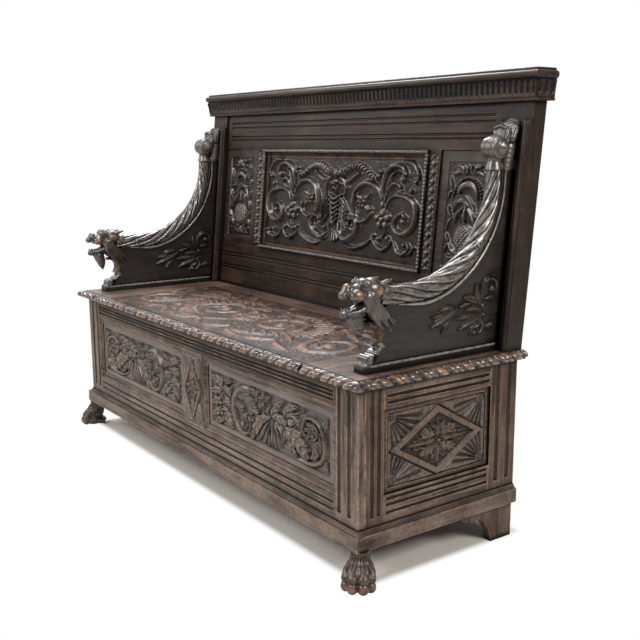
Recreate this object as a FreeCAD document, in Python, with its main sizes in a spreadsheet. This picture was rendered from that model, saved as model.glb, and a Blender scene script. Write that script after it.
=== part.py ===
"""Carved oak box settle: panelled chest with a lift-up seat lid, lion-head arms and a raked panelled back.

Millimetres, +Z up, front facing -Y, +X to the right of someone who stands looking at the front.
The origin lies on the floor under the middle of the whole settle.
"""
import FreeCAD, Part
import math
import os
import Sketcher

Vector = FreeCAD.Vector
Rotation = FreeCAD.Rotation
Placement = FreeCAD.Placement

DIMENSIONS = {
    # chest and seat
    "seat_height": 463.0,
    "seat_thick": 22.0,
    "chest_half": 730.0,
    "chest_depth": 481.0,
    "front_face": -256.0,
    "shadow_gap": 0.5,
    "rest_gap": 0.3,
    # plinth and floor
    "plinth_bottom": 83.0,
    "plinth_face": 34.0,
    "plinth_round": 10.0,
    "plinth_out": 13.0,
    "floor_thick": 14.0,
    # chest frames
    "frame_thick": 20.0,
    "end_thick": 22.0,
    "back_board_thick": 18.0,
    "stile_width": 77.0,
    "muntin_width": 110.0,
    "top_rail_width": 55.0,
    "bottom_rail_top": 181.0,
    "end_front_stile": 51.0,
    "end_rear_stile": 87.0,
    "end_rail_top": 192.0,
    "panel_thick": 12.0,
    "panel_border": 15.0,
    "panel_sink": 4.0,
    "end_panel_thick": 17.0,
    "front_relief": 8.0,
    "panel_bead_width": 19.0,
    "lozenge_half_length": 140.0,
    "lozenge_half_height": 80.5,
    "lozenge_strap": 16.0,
    "lozenge_drop": 3.0,
    # flutes and grooves
    "flute_radius": 8.0,
    "flute_depth": 4.0,
    "flute_stop": 148.0,
    "reed_radius": 3.5,
    # seat edge and lid
    "quirk_out": 4.5,
    "nose_flat": 16.0,
    "nose_height": 20.5,
    "nose_radius": 11.3,
    "lid_half": 545.0,
    "lid_depth": 374.0,
    "lid_relief": 3.4,
    "batten_offset": 380.0,
    "batten_width": 44.0,
    "batten_thick": 18.0,
    # hinges
    "hinge_offset": 330.0,
    "hinge_length": 60.0,
    "leaf_height": 15.5,
    "leaf_thick": 2.0,
    "barrel_radius": 4.0,
    "pin_radius": 2.0,
    "pin_play": 0.05,
    "hinge_rise": 1.0,
    "screw_head": 3.5,
    "screw_shank": 1.8,
    "screw_length": 14.0,
    "screw_pitch": 20.0,
    # feet
    "paw_x": 727.0,
    "paw_set_back": 9.0,
    "paw_turn": 45.0,
    "toe_radius": 11.5,
    "bracket_face": 740.0,
    "bracket_thick": 22.0,
    # arms
    "arm_centre": 686.0,
    "arm_thick": 24.0,
    "arm_base_width": 36.0,
    "arm_base_height": 17.0,
    "arm_base_round": 6.0,
    "arm_front": 36.0,
    "neck_radius": 20.5,
    "neck_height": 622.0,
    "neck_bend": 178.0,
    "sweep_radius": 248.0,
    "volute_width": 44.0,
    "volute_radius": 27.0,
    "volute_rise": 48.0,
    "volute_bottom": 884.0,
    "arm_top": 1000.0,
    # back, measured along its own slope
    "back_foot": 448.0,
    "back_rake": 5.46,
    "back_half": 734.0,
    "back_thick": 41.0,
    "back_stile": 90.0,
    "strip_deep": 12.0,
    "strip_top": 525.0,
    "strip_bead": 7.0,
    "back_rail_set": 5.0,
    "back_rail_thick": 31.0,
    "back_panel_set": 14.0,
    "back_panel_thick": 13.0,
    "back_low": 144.0,
    "back_high": 465.0,
    "back_muntin": 42.0,
    "centre_half": 395.0,
    "centre_bead": 26.0,
    "side_border": 30.0,
    "centre_relief": 11.0,
    "side_relief": 11.0,
    # cornice
    "bead_bottom": 1037.0,
    "bead_height": 7.0,
    "frieze_top": 1083.0,
    "cornice_top": 1110.0,
    "cornice_half": 758.0,
    "cornice_front": 481.0,
    "cornice_rear": 554.3,
}

doc = FreeCAD.newDocument("box_settle")
sheet = doc.addObject("Spreadsheet::Sheet", "Dims")
for row, (alias, number) in enumerate(DIMENSIONS.items(), start=1):
    sheet.set(f"A{row}", alias)
    sheet.set(f"B{row}", str(number))
    sheet.setAlias(f"B{row}", alias)
doc.recompute()


class Size(float):
    """A length that remembers the sheet expression it was worked out from."""

    def __new__(cls, number, text):
        size = float.__new__(cls, number)
        size.text = text
        return size

    def __add__(self, other):
        return Size(float(self) + float(other), f"({self.text} + {words(other)})")

    def __radd__(self, other):
        return Size(float(other) + float(self), f"({words(other)} + {self.text})")

    def __sub__(self, other):
        return Size(float(self) - float(other), f"({self.text} - {words(other)})")

    def __rsub__(self, other):
        return Size(float(other) - float(self), f"({words(other)} - {self.text})")

    def __mul__(self, other):
        return Size(float(self) * float(other), f"({self.text} * {words(other)})")

    def __rmul__(self, other):
        return Size(float(other) * float(self), f"({words(other)} * {self.text})")

    def __truediv__(self, other):
        return Size(float(self) / float(other), f"({self.text} / {words(other)})")

    def __neg__(self):
        return Size(-float(self), f"(0 - {self.text})")


def words(number):
    """The expression text of a size, or a plain number as text."""
    return number.text if isinstance(number, Size) else repr(float(number))


def dim(alias):
    """One driving dimension from the sheet."""
    return Size(float(sheet.get(alias)), f"Dims.{alias}")


def bind(feature, prop, size):
    """Tie one property of a feature to the sheet."""
    feature.setExpression(prop, words(size))


nodes = {}


def keep(name, feature):
    """Hand a finished feature over as a named piece of the settle."""
    feature.Label = name
    nodes[name] = feature
    return feature


def place(feature, x, y, z):
    """Tie a feature's position to the sheet."""
    bind(feature, "Placement.Base.x", x)
    bind(feature, "Placement.Base.y", y)
    bind(feature, "Placement.Base.z", z)
    return feature


def board(name, x_span, y_span, z_span):
    """A square-edged board between three pairs of planes."""
    piece = doc.addObject("Part::Box", name)
    bind(piece, "Length", x_span[1] - x_span[0])
    bind(piece, "Width", y_span[1] - y_span[0])
    bind(piece, "Height", z_span[1] - z_span[0])
    return place(piece, x_span[0], y_span[0], z_span[0])


AXIS_TURN = {
    "X": Rotation(Vector(0, 1, 0), 90),
    "Y": Rotation(Vector(1, 0, 0), -90),
    "-Y": Rotation(Vector(1, 0, 0), 90),
    "Z": Rotation(),
}


def rod(name, axis, x, y, z, radius, length):
    """A round bar that starts at a point and runs along an axis."""
    piece = doc.addObject("Part::Cylinder", name)
    bind(piece, "Radius", radius)
    bind(piece, "Height", length)
    piece.Placement = Placement(Vector(), AXIS_TURN[axis])
    return place(piece, x, y, z)


def cone(name, axis, x, y, z, radius_start, radius_end, length):
    """A tapered bar that starts at a point and runs along an axis."""
    piece = doc.addObject("Part::Cone", name)
    bind(piece, "Radius1", radius_start)
    bind(piece, "Radius2", radius_end)
    bind(piece, "Height", length)
    piece.Placement = Placement(Vector(), AXIS_TURN[axis])
    return place(piece, x, y, z)


def ball(name, x, y, z, radius):
    """A sphere."""
    piece = doc.addObject("Part::Sphere", name)
    bind(piece, "Radius", radius)
    return place(piece, x, y, z)


def frustum(name, low, high):
    """A block whose top and bottom are different rectangles: (x span, y span, z) each."""
    piece = doc.addObject("Part::Wedge", name)
    for prop, size in (
        ("Xmin", low[0][0]), ("Xmax", low[0][1]), ("X2min", high[0][0]), ("X2max", high[0][1]),
        ("Zmin", -low[1][1]), ("Zmax", -low[1][0]), ("Z2min", -high[1][1]), ("Z2max", -high[1][0]),
        ("Ymin", low[2]), ("Ymax", high[2]),
    ):
        bind(piece, prop, size)
    piece.Placement = Placement(Vector(), Rotation(Vector(1, 0, 0), 90))
    return piece


def group(name, pieces):
    """Several separate solids handled as one."""
    bundle = doc.addObject("Part::Compound", name)
    bundle.Links = list(pieces)
    return bundle


def joined(name, pieces):
    """Several shapes made into one solid."""
    union = doc.addObject("Part::MultiFuse", name)
    union.Shapes = list(pieces)
    return union


def cut(name, base, tools):
    """A piece with other shapes taken out of it."""
    result = doc.addObject("Part::Cut", name)
    result.Base = base
    result.Tool = tools[0] if len(tools) == 1 else group(f"{name}_tools", tools)
    return result


def mirrored(name, source):
    """The left-hand twin of a right-hand piece."""
    twin = doc.addObject("Part::Mirroring", name)
    twin.Source = source
    twin.Normal = Vector(1, 0, 0)
    return twin


def pair(name, feature):
    """Keep a right-hand piece and its left-hand twin."""
    keep(f"{name}_right", feature)
    keep(f"{name}_left", mirrored(f"{name}_left", feature))
    return feature


SKETCH_PLANE = {"X": "YZ_Plane", "Y": "XZ_Plane", "Z": "XY_Plane"}


def outline_sketch(body, plane, points, arcs):
    """A closed outline on one of the body's own planes, every corner tied to the sheet.

    arcs maps the number of an edge to its radius; a positive radius bulges to the left of the edge's
    direction of travel, a negative one to the right.
    """
    planes = {feature.Role: feature for feature in body.Origin.OriginFeatures}
    sketch = body.newObject("Sketcher::SketchObject", f"{body.Name}_outline")
    sketch.AttachmentSupport = [(planes[plane], "")]
    sketch.MapMode = "FlatFace"
    corners = [Vector(float(x), float(y), 0) for x, y in points]
    for edge, start in enumerate(corners):
        end = corners[(edge + 1) % len(corners)]
        if edge in arcs:
            ends = (end, start) if arcs[edge] > 0 else (start, end)
            sketch.addGeometry(Part.Arc(ends[0], arc_middle(start, end, arcs[edge]), ends[1]), False)
        else:
            sketch.addGeometry(Part.LineSegment(start, end), False)
    first = []
    for edge, start in enumerate(corners):
        begins_here = (sketch.Geometry[edge].StartPoint - start).Length < 1e-6
        first.append(1 if begins_here else 2)
    for edge in range(len(corners)):
        following = (edge + 1) % len(corners)
        sketch.addConstraint(
            Sketcher.Constraint("Coincident", edge, 3 - first[edge], following, first[following])
        )
    for edge, point in enumerate(points):
        for direction, size in zip(("DistanceX", "DistanceY"), point):
            number = sketch.addConstraint(
                Sketcher.Constraint(direction, -1, 1, edge, first[edge], float(size))
            )
            sketch.renameConstraint(number, f"corner{edge}_{direction}")
            sketch.setExpression(f"Constraints.corner{edge}_{direction}", words(size))
    for edge, radius in arcs.items():
        sketch.addConstraint(Sketcher.Constraint("Radius", edge, abs(float(radius))))
    return sketch


def arc_middle(start, end, radius):
    """The middle point of the short arc of a given radius between two corners."""
    chord = end - start
    half = chord.Length / 2
    size = abs(float(radius))
    rise = size - max(size * size - half * half, 0) ** 0.5
    left = Vector(-chord.y, chord.x, 0).normalize()
    return (start + end) * 0.5 + left * (rise if radius > 0 else -rise)


def shaped(name, along, outline, span, arcs=None, trims=()):
    """A length of moulding or shaped board: an outline padded along an axis, with mitred ends.

    trims holds (plane, outline) pairs that are cut right through, given in the settle's own frame.
    """
    body = doc.addObject("PartDesign::Body", name)
    middle = (span[0] + span[1]) / 2
    sketch = outline_sketch(body, SKETCH_PLANE[along], outline, arcs or {})
    pad = body.newObject("PartDesign::Pad", f"{name}_pad")
    pad.Profile = sketch
    pad.SideType = "Symmetric"
    bind(pad, "Length", span[1] - span[0])
    for number, (plane, corners) in enumerate(trims):
        shift = {
            ("X", "XY_Plane"): (middle, 0), ("Y", "XY_Plane"): (0, middle),
            ("X", "XZ_Plane"): (middle, 0), ("Z", "XZ_Plane"): (0, middle),
        }[(along, plane)]
        local = [(x - shift[0], y - shift[1]) for x, y in corners]
        doc.recompute()
        before = body.Shape.Volume
        trim = body.newObject("PartDesign::Pocket", f"{name}_trim{number}")
        trim.Profile = outline_sketch(body, plane, local, {})
        trim.Type = "ThroughAll"
        trim.SideType = "Symmetric"
        doc.recompute()
        if body.Shape.Volume >= before:
            raise RuntimeError(f"{name}: mitre cuts nothing")
    bind(body, f"Placement.Base.{along.lower()}", middle)
    return body


def oval(name, axis, x, y, z, half_wide, half_tall):
    """An upright or level oval section for a carved, lofted form."""
    section = doc.addObject("Part::Ellipse", name)
    wide_first = float(half_wide) >= float(half_tall)
    bind(section, "MajorRadius", half_wide if wide_first else half_tall)
    bind(section, "MinorRadius", half_tall if wide_first else half_wide)
    turn = Rotation() if wide_first else Rotation(Vector(0, 0, 1), 90)
    stand = Rotation(Vector(1, 0, 0), 90) if axis == "Y" else Rotation()
    section.Placement = Placement(Vector(), stand.multiply(turn))
    return place(section, x, y, z)


def lofted(name, sections):
    """A smooth solid through a row of oval sections."""
    loft = doc.addObject("Part::Loft", name)
    loft.Sections = list(sections)
    loft.Solid = True
    return loft


def carved_masses(name, masses, middle, ground, rise):
    """Main masses of the carving on an upright panel: discs and rings that stand out of its ground.

    masses holds (across, up, outer radius, inner radius) from the panel's middle; a disc has no inner radius.
    """
    forms = []
    for number, (across, up, outer, inner) in enumerate(masses):
        tag = f"{name}_{number}"
        x, z = middle[0] + across, middle[1] + up
        form = rod(tag, "Y", x, ground - rise, z, outer, rise + 1)
        if inner:
            eye = rod(f"{tag}_eye", "Y", x, ground - rise - 1, z, inner, rise + 3)
            form = cut(f"{tag}_ring", form, [eye])
        forms.append(form)
    return forms


def both_sides(masses):
    """A list of masses together with their mirror images across the panel's middle."""
    return masses + tuple((-across, up, outer, inner) for across, up, outer, inner in masses)


def level_oval(name, x, y, z, half_wide, half_deep, tilt, rise):
    """A low oval disc that stands on a level board."""
    rim = oval(f"{name}_rim", "Z", x, y, z, half_wide, half_deep)
    rim.Placement = Placement(rim.Placement.Base, Rotation(Vector(0, 0, 1), tilt))
    form = doc.addObject("Part::Extrusion", name)
    form.Base = rim
    form.DirMode = "Normal"
    form.Solid = True
    bind(form, "LengthFwd", rise)
    return form


seat = dim("seat_height")
under_seat = seat - dim("seat_thick")
half = dim("chest_half")
front = dim("front_face")
rear = front + dim("chest_depth")
gap = dim("shadow_gap")
plinth_low = dim("plinth_bottom")
floor_top = plinth_low + dim("floor_thick")
back_foot = front + dim("back_foot")
back_heel = back_foot + dim("back_thick")


def build_plinth():
    """Plinth moulding on three sides, mitred at the front corners."""
    out = dim("plinth_out")
    face_top = plinth_low + dim("plinth_face")
    ovolo = dim("plinth_round")
    top = face_top + ovolo
    front_outline = [
        (front, plinth_low), (front, top), (front - out + ovolo, top),
        (front - out, face_top), (front - out, plinth_low),
    ]
    corner_right = [(half, front), (half + out + 1, front), (half + out + 1, front - out - 1)]
    corner_left = [(-x, y) for x, y in corner_right]
    strip = shaped(
        "plinth_front", "X", front_outline, (-half - out, half + out), {2: ovolo},
        [("XY_Plane", corner_right), ("XY_Plane", corner_left)],
    )
    keep("plinth_front", strip)
    end_outline = [
        (half, plinth_low), (half, top), (half + out - ovolo, top),
        (half + out, face_top), (half + out, plinth_low),
    ]
    inside_corner = [(half, front), (half, front - out - 1), (half + out + 1, front - out - 1)]
    strip = shaped(
        "plinth_right", "Y", end_outline, (front - out, rear), {2: -ovolo},
        [("XY_Plane", inside_corner)],
    )
    pair("plinth", strip)


def build_floor():
    """Three loose-jointed boards that the chest frames stand on."""
    count = 3
    width = (dim("chest_depth") - gap * (count - 1)) / count
    boards = []
    for number in range(count):
        start = front + (width + gap) * number
        boards.append(board(f"floor_board_{number}", (-half, half), (start, start + width),
                            (plinth_low, floor_top)))
    keep("floor_boards", group("floor_boards", boards))


def build_paw_feet():
    """Front feet: a hairy ankle swelling into a paw with four toes, turned out at the corner."""
    # heights, forward shift and half sizes of the leg's sections, from the top down
    sections = (
        (plinth_low, 0, 25, 25), (plinth_low - 8, 0, 22, 21), (56, 2, 24, 22),
        (36, 8, 29, 27), (18, 13, 33, 32), (0, 14, 32, 32),
    )
    leg = lofted("paw_leg", [
        oval(f"paw_section_{number}", "Z", 0, -forward, height, wide, deep)
        for number, (height, forward, wide, deep) in enumerate(sections)
    ])
    radius = dim("toe_radius")
    toes = []
    for number, (side, forward) in enumerate(((-26.5, 30), (-11.5, 41), (11.5, 41), (26.5, 30))):
        toes.append(ball(f"toe_{number}", side, -forward, radius - 1, radius))
        toes.append(ball(f"knuckle_{number}", side * 0.95, -forward + 11, radius + 12, radius))
    below = board("under_the_floor", (-100, 100), (-100, 100), (-40, 0))
    foot = cut("paw_flat", joined("paw_form", [leg] + toes), [below])
    turned = group("paw_turned", [foot])
    turned.Placement = Placement(Vector(), Rotation(Vector(0, 0, 1), 45))
    bind(turned, "Placement.Rotation.Angle", dim("paw_turn"))
    place(turned, dim("paw_x"), front + dim("paw_set_back"), 0)
    pair("paw_foot", turned)


def build_bracket_feet():
    """Rear feet: boards with a shaped arch."""
    tip, cusp, pad_front, pad_rear = 301, 352, 398, 467
    outline = [
        (front + tip, plinth_low), (front + tip, plinth_low - 6), (front + cusp, plinth_low - 17),
        (front + pad_front, 0), (front + pad_rear, 0), (front + pad_rear, plinth_low),
    ]
    face = dim("bracket_face")
    foot = shaped("bracket_foot_right", "X", outline, (face - dim("bracket_thick"), face), {2: 70, 1: -60})
    pair("bracket_foot", foot)


def upright_flutes(name, x_places, y_face, z_span):
    """Hollow flutes run down the face of an upright that looks forward."""
    radius = dim("flute_radius")
    lift = radius - dim("flute_depth")
    return [
        rod(f"{name}_flute_{number}", "Z", x, y_face - lift, z_span[0], radius, z_span[1] - z_span[0])
        for number, x in enumerate(x_places)
    ]


def level_reeds(name, axis, start, length, face, heights):
    """Half-round grooves run along a rail, at given heights on its face."""
    radius = dim("reed_radius")
    reeds = []
    for number, height in enumerate(heights):
        x, y = (start, face) if axis == "X" else (face, start)
        reeds.append(rod(f"{name}_reed_{number}", axis, x, y, height, radius, length))
    return reeds


# masses of the carvings, from the middle of each carved field
FRONT_MASSES = (
    (204, 2, 54, 38), (201, 14, 16, 0), (140, -22, 26, 0), (42, -4, 42, 0), (82, 30, 20, 0),
    (-96, 2, 56, 39), (-74, -20, 14, 0), (-206, 4, 40, 0), (-222, 44, 16, 0), (-222, -42, 18, 0),
)
CENTRE_MASSES = (
    (126, 10, 50, 34), (126, 10, 22, 0), (306, -18, 52, 35), (296, -26, 15, 0), (298, 84, 44, 27),
    (220, -32, 31, 0), (62, -78, 35, 18), (142, -104, 20, 0), (216, -102, 22, 9), (284, -100, 19, 0),
    (56, 104, 14, 0), (104, 112, 14, 0), (150, 98, 12, 0), (192, 88, 9, 0),
)
MIDDLE_MASSES = ((0, 86, 18, 0), (0, 44, 16, 0), (0, 8, 17, 0), (0, -28, 16, 0), (0, -92, 26, 0))
SIDE_MASSES = (
    (-2, -58, 37, 0), (0, 44, 52, 35), (0, 62, 13, 0), (2, 14, 22, 0), (-46, 110, 15, 0), (46, 110, 15, 0),
    (-50, -104, 15, 0), (50, -104, 15, 0),
)


def build_chest_front():
    """Front frame: stiles, rails, muntin, sunk panels and the mouldings planted round them."""
    thick = (front, front + dim("frame_thick"))
    stile_inner = half - dim("stile_width")
    upright = (floor_top, under_seat)
    flute_run = (dim("flute_stop"), under_seat + 1)
    stile = board("front_stile_blank", (stile_inner, half), thick, upright)
    flutes = upright_flutes("front_stile", (half - 66, half - 31), front, flute_run)
    pair("front_stile", cut("front_stile_right", stile, flutes))

    rail_low = under_seat - dim("top_rail_width")
    rail_span = (-stile_inner, stile_inner)
    reed_start = -stile_inner + 10
    reed_length = stile_inner * 2 - 20
    top_rail = board("front_top_rail_blank", rail_span, thick, (rail_low, under_seat))
    reeds = level_reeds("front_top", "X", reed_start, reed_length, front,
                        (under_seat - 22, under_seat - 31, under_seat - 41))
    keep("front_top_rail", cut("front_top_rail", top_rail, reeds))
    rail_high = dim("bottom_rail_top")
    bottom_rail = board("front_bottom_rail_blank", rail_span, thick, (floor_top, rail_high))
    reeds = level_reeds("front_bottom", "X", reed_start, reed_length, front,
                        (rail_high - 15, rail_high - 33))
    keep("front_bottom_rail", cut("front_bottom_rail", bottom_rail, reeds))

    muntin_half = dim("muntin_width") / 2
    keep("front_muntin", board("front_muntin", (-muntin_half, muntin_half), thick, (rail_high, rail_low)))
    face = thick[1] - dim("panel_thick")
    bead = dim("panel_bead_width")
    margin = bead + dim("panel_border")
    panel = board("front_panel_blank", (muntin_half, stile_inner), (face, thick[1]), (rail_high, rail_low))
    field = board("front_panel_field", (muntin_half + margin, stile_inner - margin),
                  (face - 1, face + dim("panel_sink")), (rail_high + margin, rail_low - margin))
    middle = ((muntin_half + stile_inner) / 2, (rail_high + rail_low) / 2)
    ground = face + dim("panel_sink")
    scrolls = carved_masses("front_scroll", FRONT_MASSES, middle, ground, dim("front_relief"))
    sunk = cut("front_panel_sunk", panel, [field])
    pair("front_panel", joined("front_panel_right", [sunk] + scrolls))
    strips = framing("front_panel_bead", (muntin_half, stile_inner), (rail_high, rail_low),
                     front + 1, face, bead)
    right_set = group("front_panel_bead_right", strips)
    left_set = mirrored("front_panel_bead_left", right_set)
    keep("front_panel_mouldings", group("front_panel_mouldings", [right_set, left_set]))


def framing(name, x_span, z_span, face, seat_plane, width):
    """Four mitred lengths of hollow moulding that frame a panel, standing on it inside the opening.

    face is the front of the moulding, seat_plane the panel's surface that it is planted on.
    """
    (left, right), (low, high) = x_span, z_span
    thin = seat_plane - 2
    hollow = 14
    reach = width + 1
    strips = []
    for tag, edge, inward in (("low", low, 1), ("high", high, -1)):
        outline = [(face, edge), (seat_plane, edge), (seat_plane, edge + width * inward),
                   (thin, edge + width * inward), (face, edge + 5 * inward)]
        trims = []
        for corner, step in ((left, 1), (right, -1)):
            trims.append(("XZ_Plane", [(corner, edge), (corner, edge + reach * inward),
                                       (corner + reach * step, edge + reach * inward)]))
        strips.append(shaped(f"{name}_{tag}", "X", outline, (left, right), {3: hollow * inward}, trims))
    for tag, edge, inward in (("left", left, 1), ("right", right, -1)):
        outline = [(edge, face), (edge, seat_plane), (edge + width * inward, seat_plane),
                   (edge + width * inward, thin), (edge + 5 * inward, face)]
        trims = []
        for corner, step in ((low, 1), (high, -1)):
            trims.append(("XZ_Plane", [(edge, corner), (edge + reach * inward, corner),
                                       (edge + reach * inward, corner + reach * step)]))
        strips.append(shaped(f"{name}_{tag}", "Z", outline, (low, high), {3: -hollow * inward}, trims))
    return strips


def end_flutes(name, y_places, radius, z_span):
    """Flutes down an upright of the chest's right-hand end."""
    return [
        rod(f"{name}_flute_{number}", "Z", half + radius / 2, y, z_span[0], radius, z_span[1] - z_span[0])
        for number, y in enumerate(y_places)
    ]


def build_chest_ends():
    """Framed end: two fluted stiles, two reeded rails and a panel with a raised lozenge strap."""
    thick = (half - dim("end_thick"), half)
    start = front + dim("frame_thick")
    stile_end = start + dim("end_front_stile")
    rear_stile = rear - dim("end_rear_stile")
    upright = (floor_top, under_seat)
    flute_run = (dim("flute_stop"), under_seat + 1)
    blank = board("end_front_blank", thick, (start, stile_end), upright)
    flutes = end_flutes("end_front", (front + 38, front + 57), dim("flute_radius") * 0.8, flute_run)
    pair("end_front_stile", cut("end_front_stile_right", blank, flutes))
    blank = board("end_rear_blank", thick, (rear_stile, rear), upright)
    flutes = end_flutes("end_rear", (rear - 63, rear - 25), dim("flute_radius"), flute_run)
    pair("end_rear_stile", cut("end_rear_stile_right", blank, flutes))

    rail_low = under_seat - dim("top_rail_width")
    rail_high = dim("end_rail_top")
    opening = (stile_end, rear_stile)
    reed_start = stile_end + 6
    reed_length = rear_stile - stile_end - 12
    blank = board("end_top_blank", thick, opening, (rail_low, under_seat))
    reeds = level_reeds("end_top", "Y", reed_start, reed_length, half, (under_seat - 26, under_seat - 41))
    pair("end_top_rail", cut("end_top_rail_right", blank, reeds))
    blank = board("end_bottom_blank", thick, opening, (floor_top, rail_high))
    reeds = level_reeds("end_bottom", "Y", reed_start, reed_length, half,
                        (rail_high - 9, rail_high - 23, rail_high - 41))
    pair("end_bottom_rail", cut("end_bottom_rail_right", blank, reeds))

    face = thick[0] + dim("end_panel_thick")
    border = dim("panel_border") - 3
    ground = face - dim("panel_sink")
    panel = board("end_panel_blank", (thick[0], face), opening, (rail_high, rail_low))
    field = board("end_panel_field", (ground, face + 1), (stile_end + border, rear_stile - border),
                  (rail_high + border, rail_low - border))
    middle_y = (stile_end + rear_stile) / 2
    middle_z = (rail_high + rail_low) / 2 - dim("lozenge_drop")
    long, tall = dim("lozenge_half_length"), dim("lozenge_half_height")
    strap = dim("lozenge_strap")
    inner_long, inner_tall = long - strap * 1.66, tall - strap
    outer = shaped("lozenge_outer", "X", diamond(middle_y, middle_z, long, tall), (ground, face))
    inner = shaped("lozenge_inner", "X", diamond(middle_y, middle_z, inner_long, inner_tall),
                   (ground - 1, face + 1))
    sunk = cut("end_panel_sunk", panel, [field])
    strap_ring = cut("lozenge_strap", outer, [inner])
    pair("end_panel", joined("end_panel_right", [sunk, strap_ring]))


def diamond(middle_y, middle_z, long, tall):
    """The corners of a lozenge."""
    return [(middle_y - long, middle_z), (middle_y, middle_z - tall),
            (middle_y + long, middle_z), (middle_y, middle_z + tall)]


def build_chest_back():
    """Two plain boards that close the back of the chest."""
    inner = half - dim("end_thick")
    thick = (rear - dim("back_board_thick"), rear)
    middle = (floor_top + under_seat) / 2
    boards = [
        board("chest_back_low", (-inner, inner), thick, (floor_top, middle - gap / 2)),
        board("chest_back_high", (-inner, inner), thick, (middle + gap / 2, under_seat)),
    ]
    keep("chest_back_boards", group("chest_back_boards", boards))


def nulled_outline(edge, low, outward):
    """Section of the seat's nulled edge: flat against the seat with a rounded nose."""
    nose = edge + dim("nose_flat") * outward
    high = under_seat + dim("nose_height")
    return [(edge, low), (nose, low), (nose, high), (edge, high)]


def build_seat():
    """Fixed parts of the seat: end boards, hinge rail and the fixed lengths of nulled edge."""
    quirk = dim("quirk_out")
    lid_half = dim("lid_half")
    level = (under_seat, seat)
    end_edge = half + quirk
    front_edge = front - quirk
    depth = (front_edge, back_heel)
    pair("seat_end_board", board("seat_end_board_right", (lid_half, end_edge), depth, level))

    nose = dim("nose_flat")
    reach = nose + 8
    radius = dim("nose_radius")
    outline = nulled_outline(end_edge, under_seat, 1)
    inside_corner = [(end_edge, front_edge), (end_edge, front_edge - reach),
                     (end_edge + reach, front_edge - reach)]
    end_strip = shaped("nulled_end", "Y", outline, (front_edge - reach, back_heel), {1: -radius},
                       [("XY_Plane", inside_corner)])
    outline = nulled_outline(front_edge, under_seat, -1)
    outside_corner = [(end_edge, front_edge), (end_edge + reach, front_edge),
                      (end_edge + reach, front_edge - reach)]
    corner_strip = shaped("nulled_corner", "X", outline, (lid_half, end_edge + reach), {1: radius},
                          [("XY_Plane", outside_corner)])
    pair("seat_moulding", group("seat_moulding_right", [end_strip, corner_strip]))

    lid_rear = front + dim("lid_depth")
    blank = board("seat_rear_rail_blank", (-lid_half, lid_half), (lid_rear + gap, back_heel), level)
    keep("seat_rear_rail", cut("seat_rear_rail", blank, hinge_sinkings("rail", 1) + screws("rail_bore", 1)))


def hinge_line():
    """Height and depth of the hinge axis."""
    return front + dim("lid_depth") + gap / 2, seat + dim("hinge_rise")


def hinge_middles():
    """Middles of the two hinges along the seat."""
    offset = dim("hinge_offset")
    return (-offset, offset)


def leaf_face(side):
    """The plane of a leaf's outer face: side 1 is the fixed rail's, side -1 the lid's."""
    return hinge_line()[0] + gap / 2 * side


def leaf_span(side):
    """Front and rear planes of a hinge leaf."""
    face = leaf_face(side)
    deep = face + dim("leaf_thick") * side
    return (face, deep) if side > 0 else (deep, face)


def leaf_heights():
    """Bottom and top of the leaf plates."""
    low = seat - 19
    return low, low + dim("leaf_height")


def hinge_sinkings(name, side):
    """Sinkings in a board's edge for the leaf plates and the knuckles."""
    reach = dim("hinge_length") / 2
    face = leaf_face(side)
    low, high = leaf_heights()
    radius = dim("barrel_radius") + 0.75
    sinkings = []
    for number, middle in enumerate(hinge_middles()):
        bed = (middle - reach, middle + reach)
        sinkings.append(board(f"{name}_leaf_bed_{number}", bed, leaf_span(side), (low, high)))
        deep = face + radius * side
        span = (face, deep) if side > 0 else (deep, face)
        sinkings.append(board(f"{name}_knuckle_bed_{number}", (middle - reach - 2, middle + reach + 2),
                              span, (high, seat + 1)))
    return sinkings


def screws(name, side):
    """Countersunk screws, three to a leaf, driven through the plate into the board's edge."""
    low, high = leaf_heights()
    height = (low + high) / 2
    face = leaf_face(side)
    thick = dim("leaf_thick")
    axis = "Y" if side > 0 else "-Y"
    pieces = []
    for hinge, middle in enumerate(hinge_middles()):
        for step in (-1, 0, 1):
            tag = f"{name}_{hinge}_{step + 1}"
            x = middle + dim("screw_pitch") * step
            head = cone(f"{tag}_head", axis, x, face, height, dim("screw_head"), dim("screw_shank"), thick)
            shank = rod(f"{tag}_shank", axis, x, face + thick * side, height, dim("screw_shank"),
                        dim("screw_length"))
            pieces.append(joined(f"{tag}_screw", [head, shank]))
    return pieces


def hinge_leaves(name, side, knuckles, bore):
    """Plates with rolled knuckles; knuckles holds (start, end) as shares of the hinge's length."""
    axis_y, axis_z = hinge_line()
    low, high = leaf_heights()
    length = dim("hinge_length")
    leaves = []
    for number, middle in enumerate(hinge_middles()):
        start = middle - length / 2
        forms = [board(f"{name}_plate_{number}", (start, start + length), leaf_span(side), (low, high))]
        for knuckle, (first, last) in enumerate(knuckles):
            x_span = (start + first, start + last)
            tag = f"{name}_{number}_{knuckle}"
            forms.append(board(f"{tag}_web", x_span, leaf_span(side), (high, axis_z)))
            forms.append(rod(f"{tag}_barrel", "X", x_span[0], axis_y, axis_z, dim("barrel_radius"),
                             x_span[1] - x_span[0]))
        hole = rod(f"{name}_bore_{number}", "X", start - 2, axis_y, axis_z, bore, length + 4)
        leaves.append(cut(f"{name}_leaf_{number}", joined(f"{name}_form_{number}", forms), [hole]))
    return leaves


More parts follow.
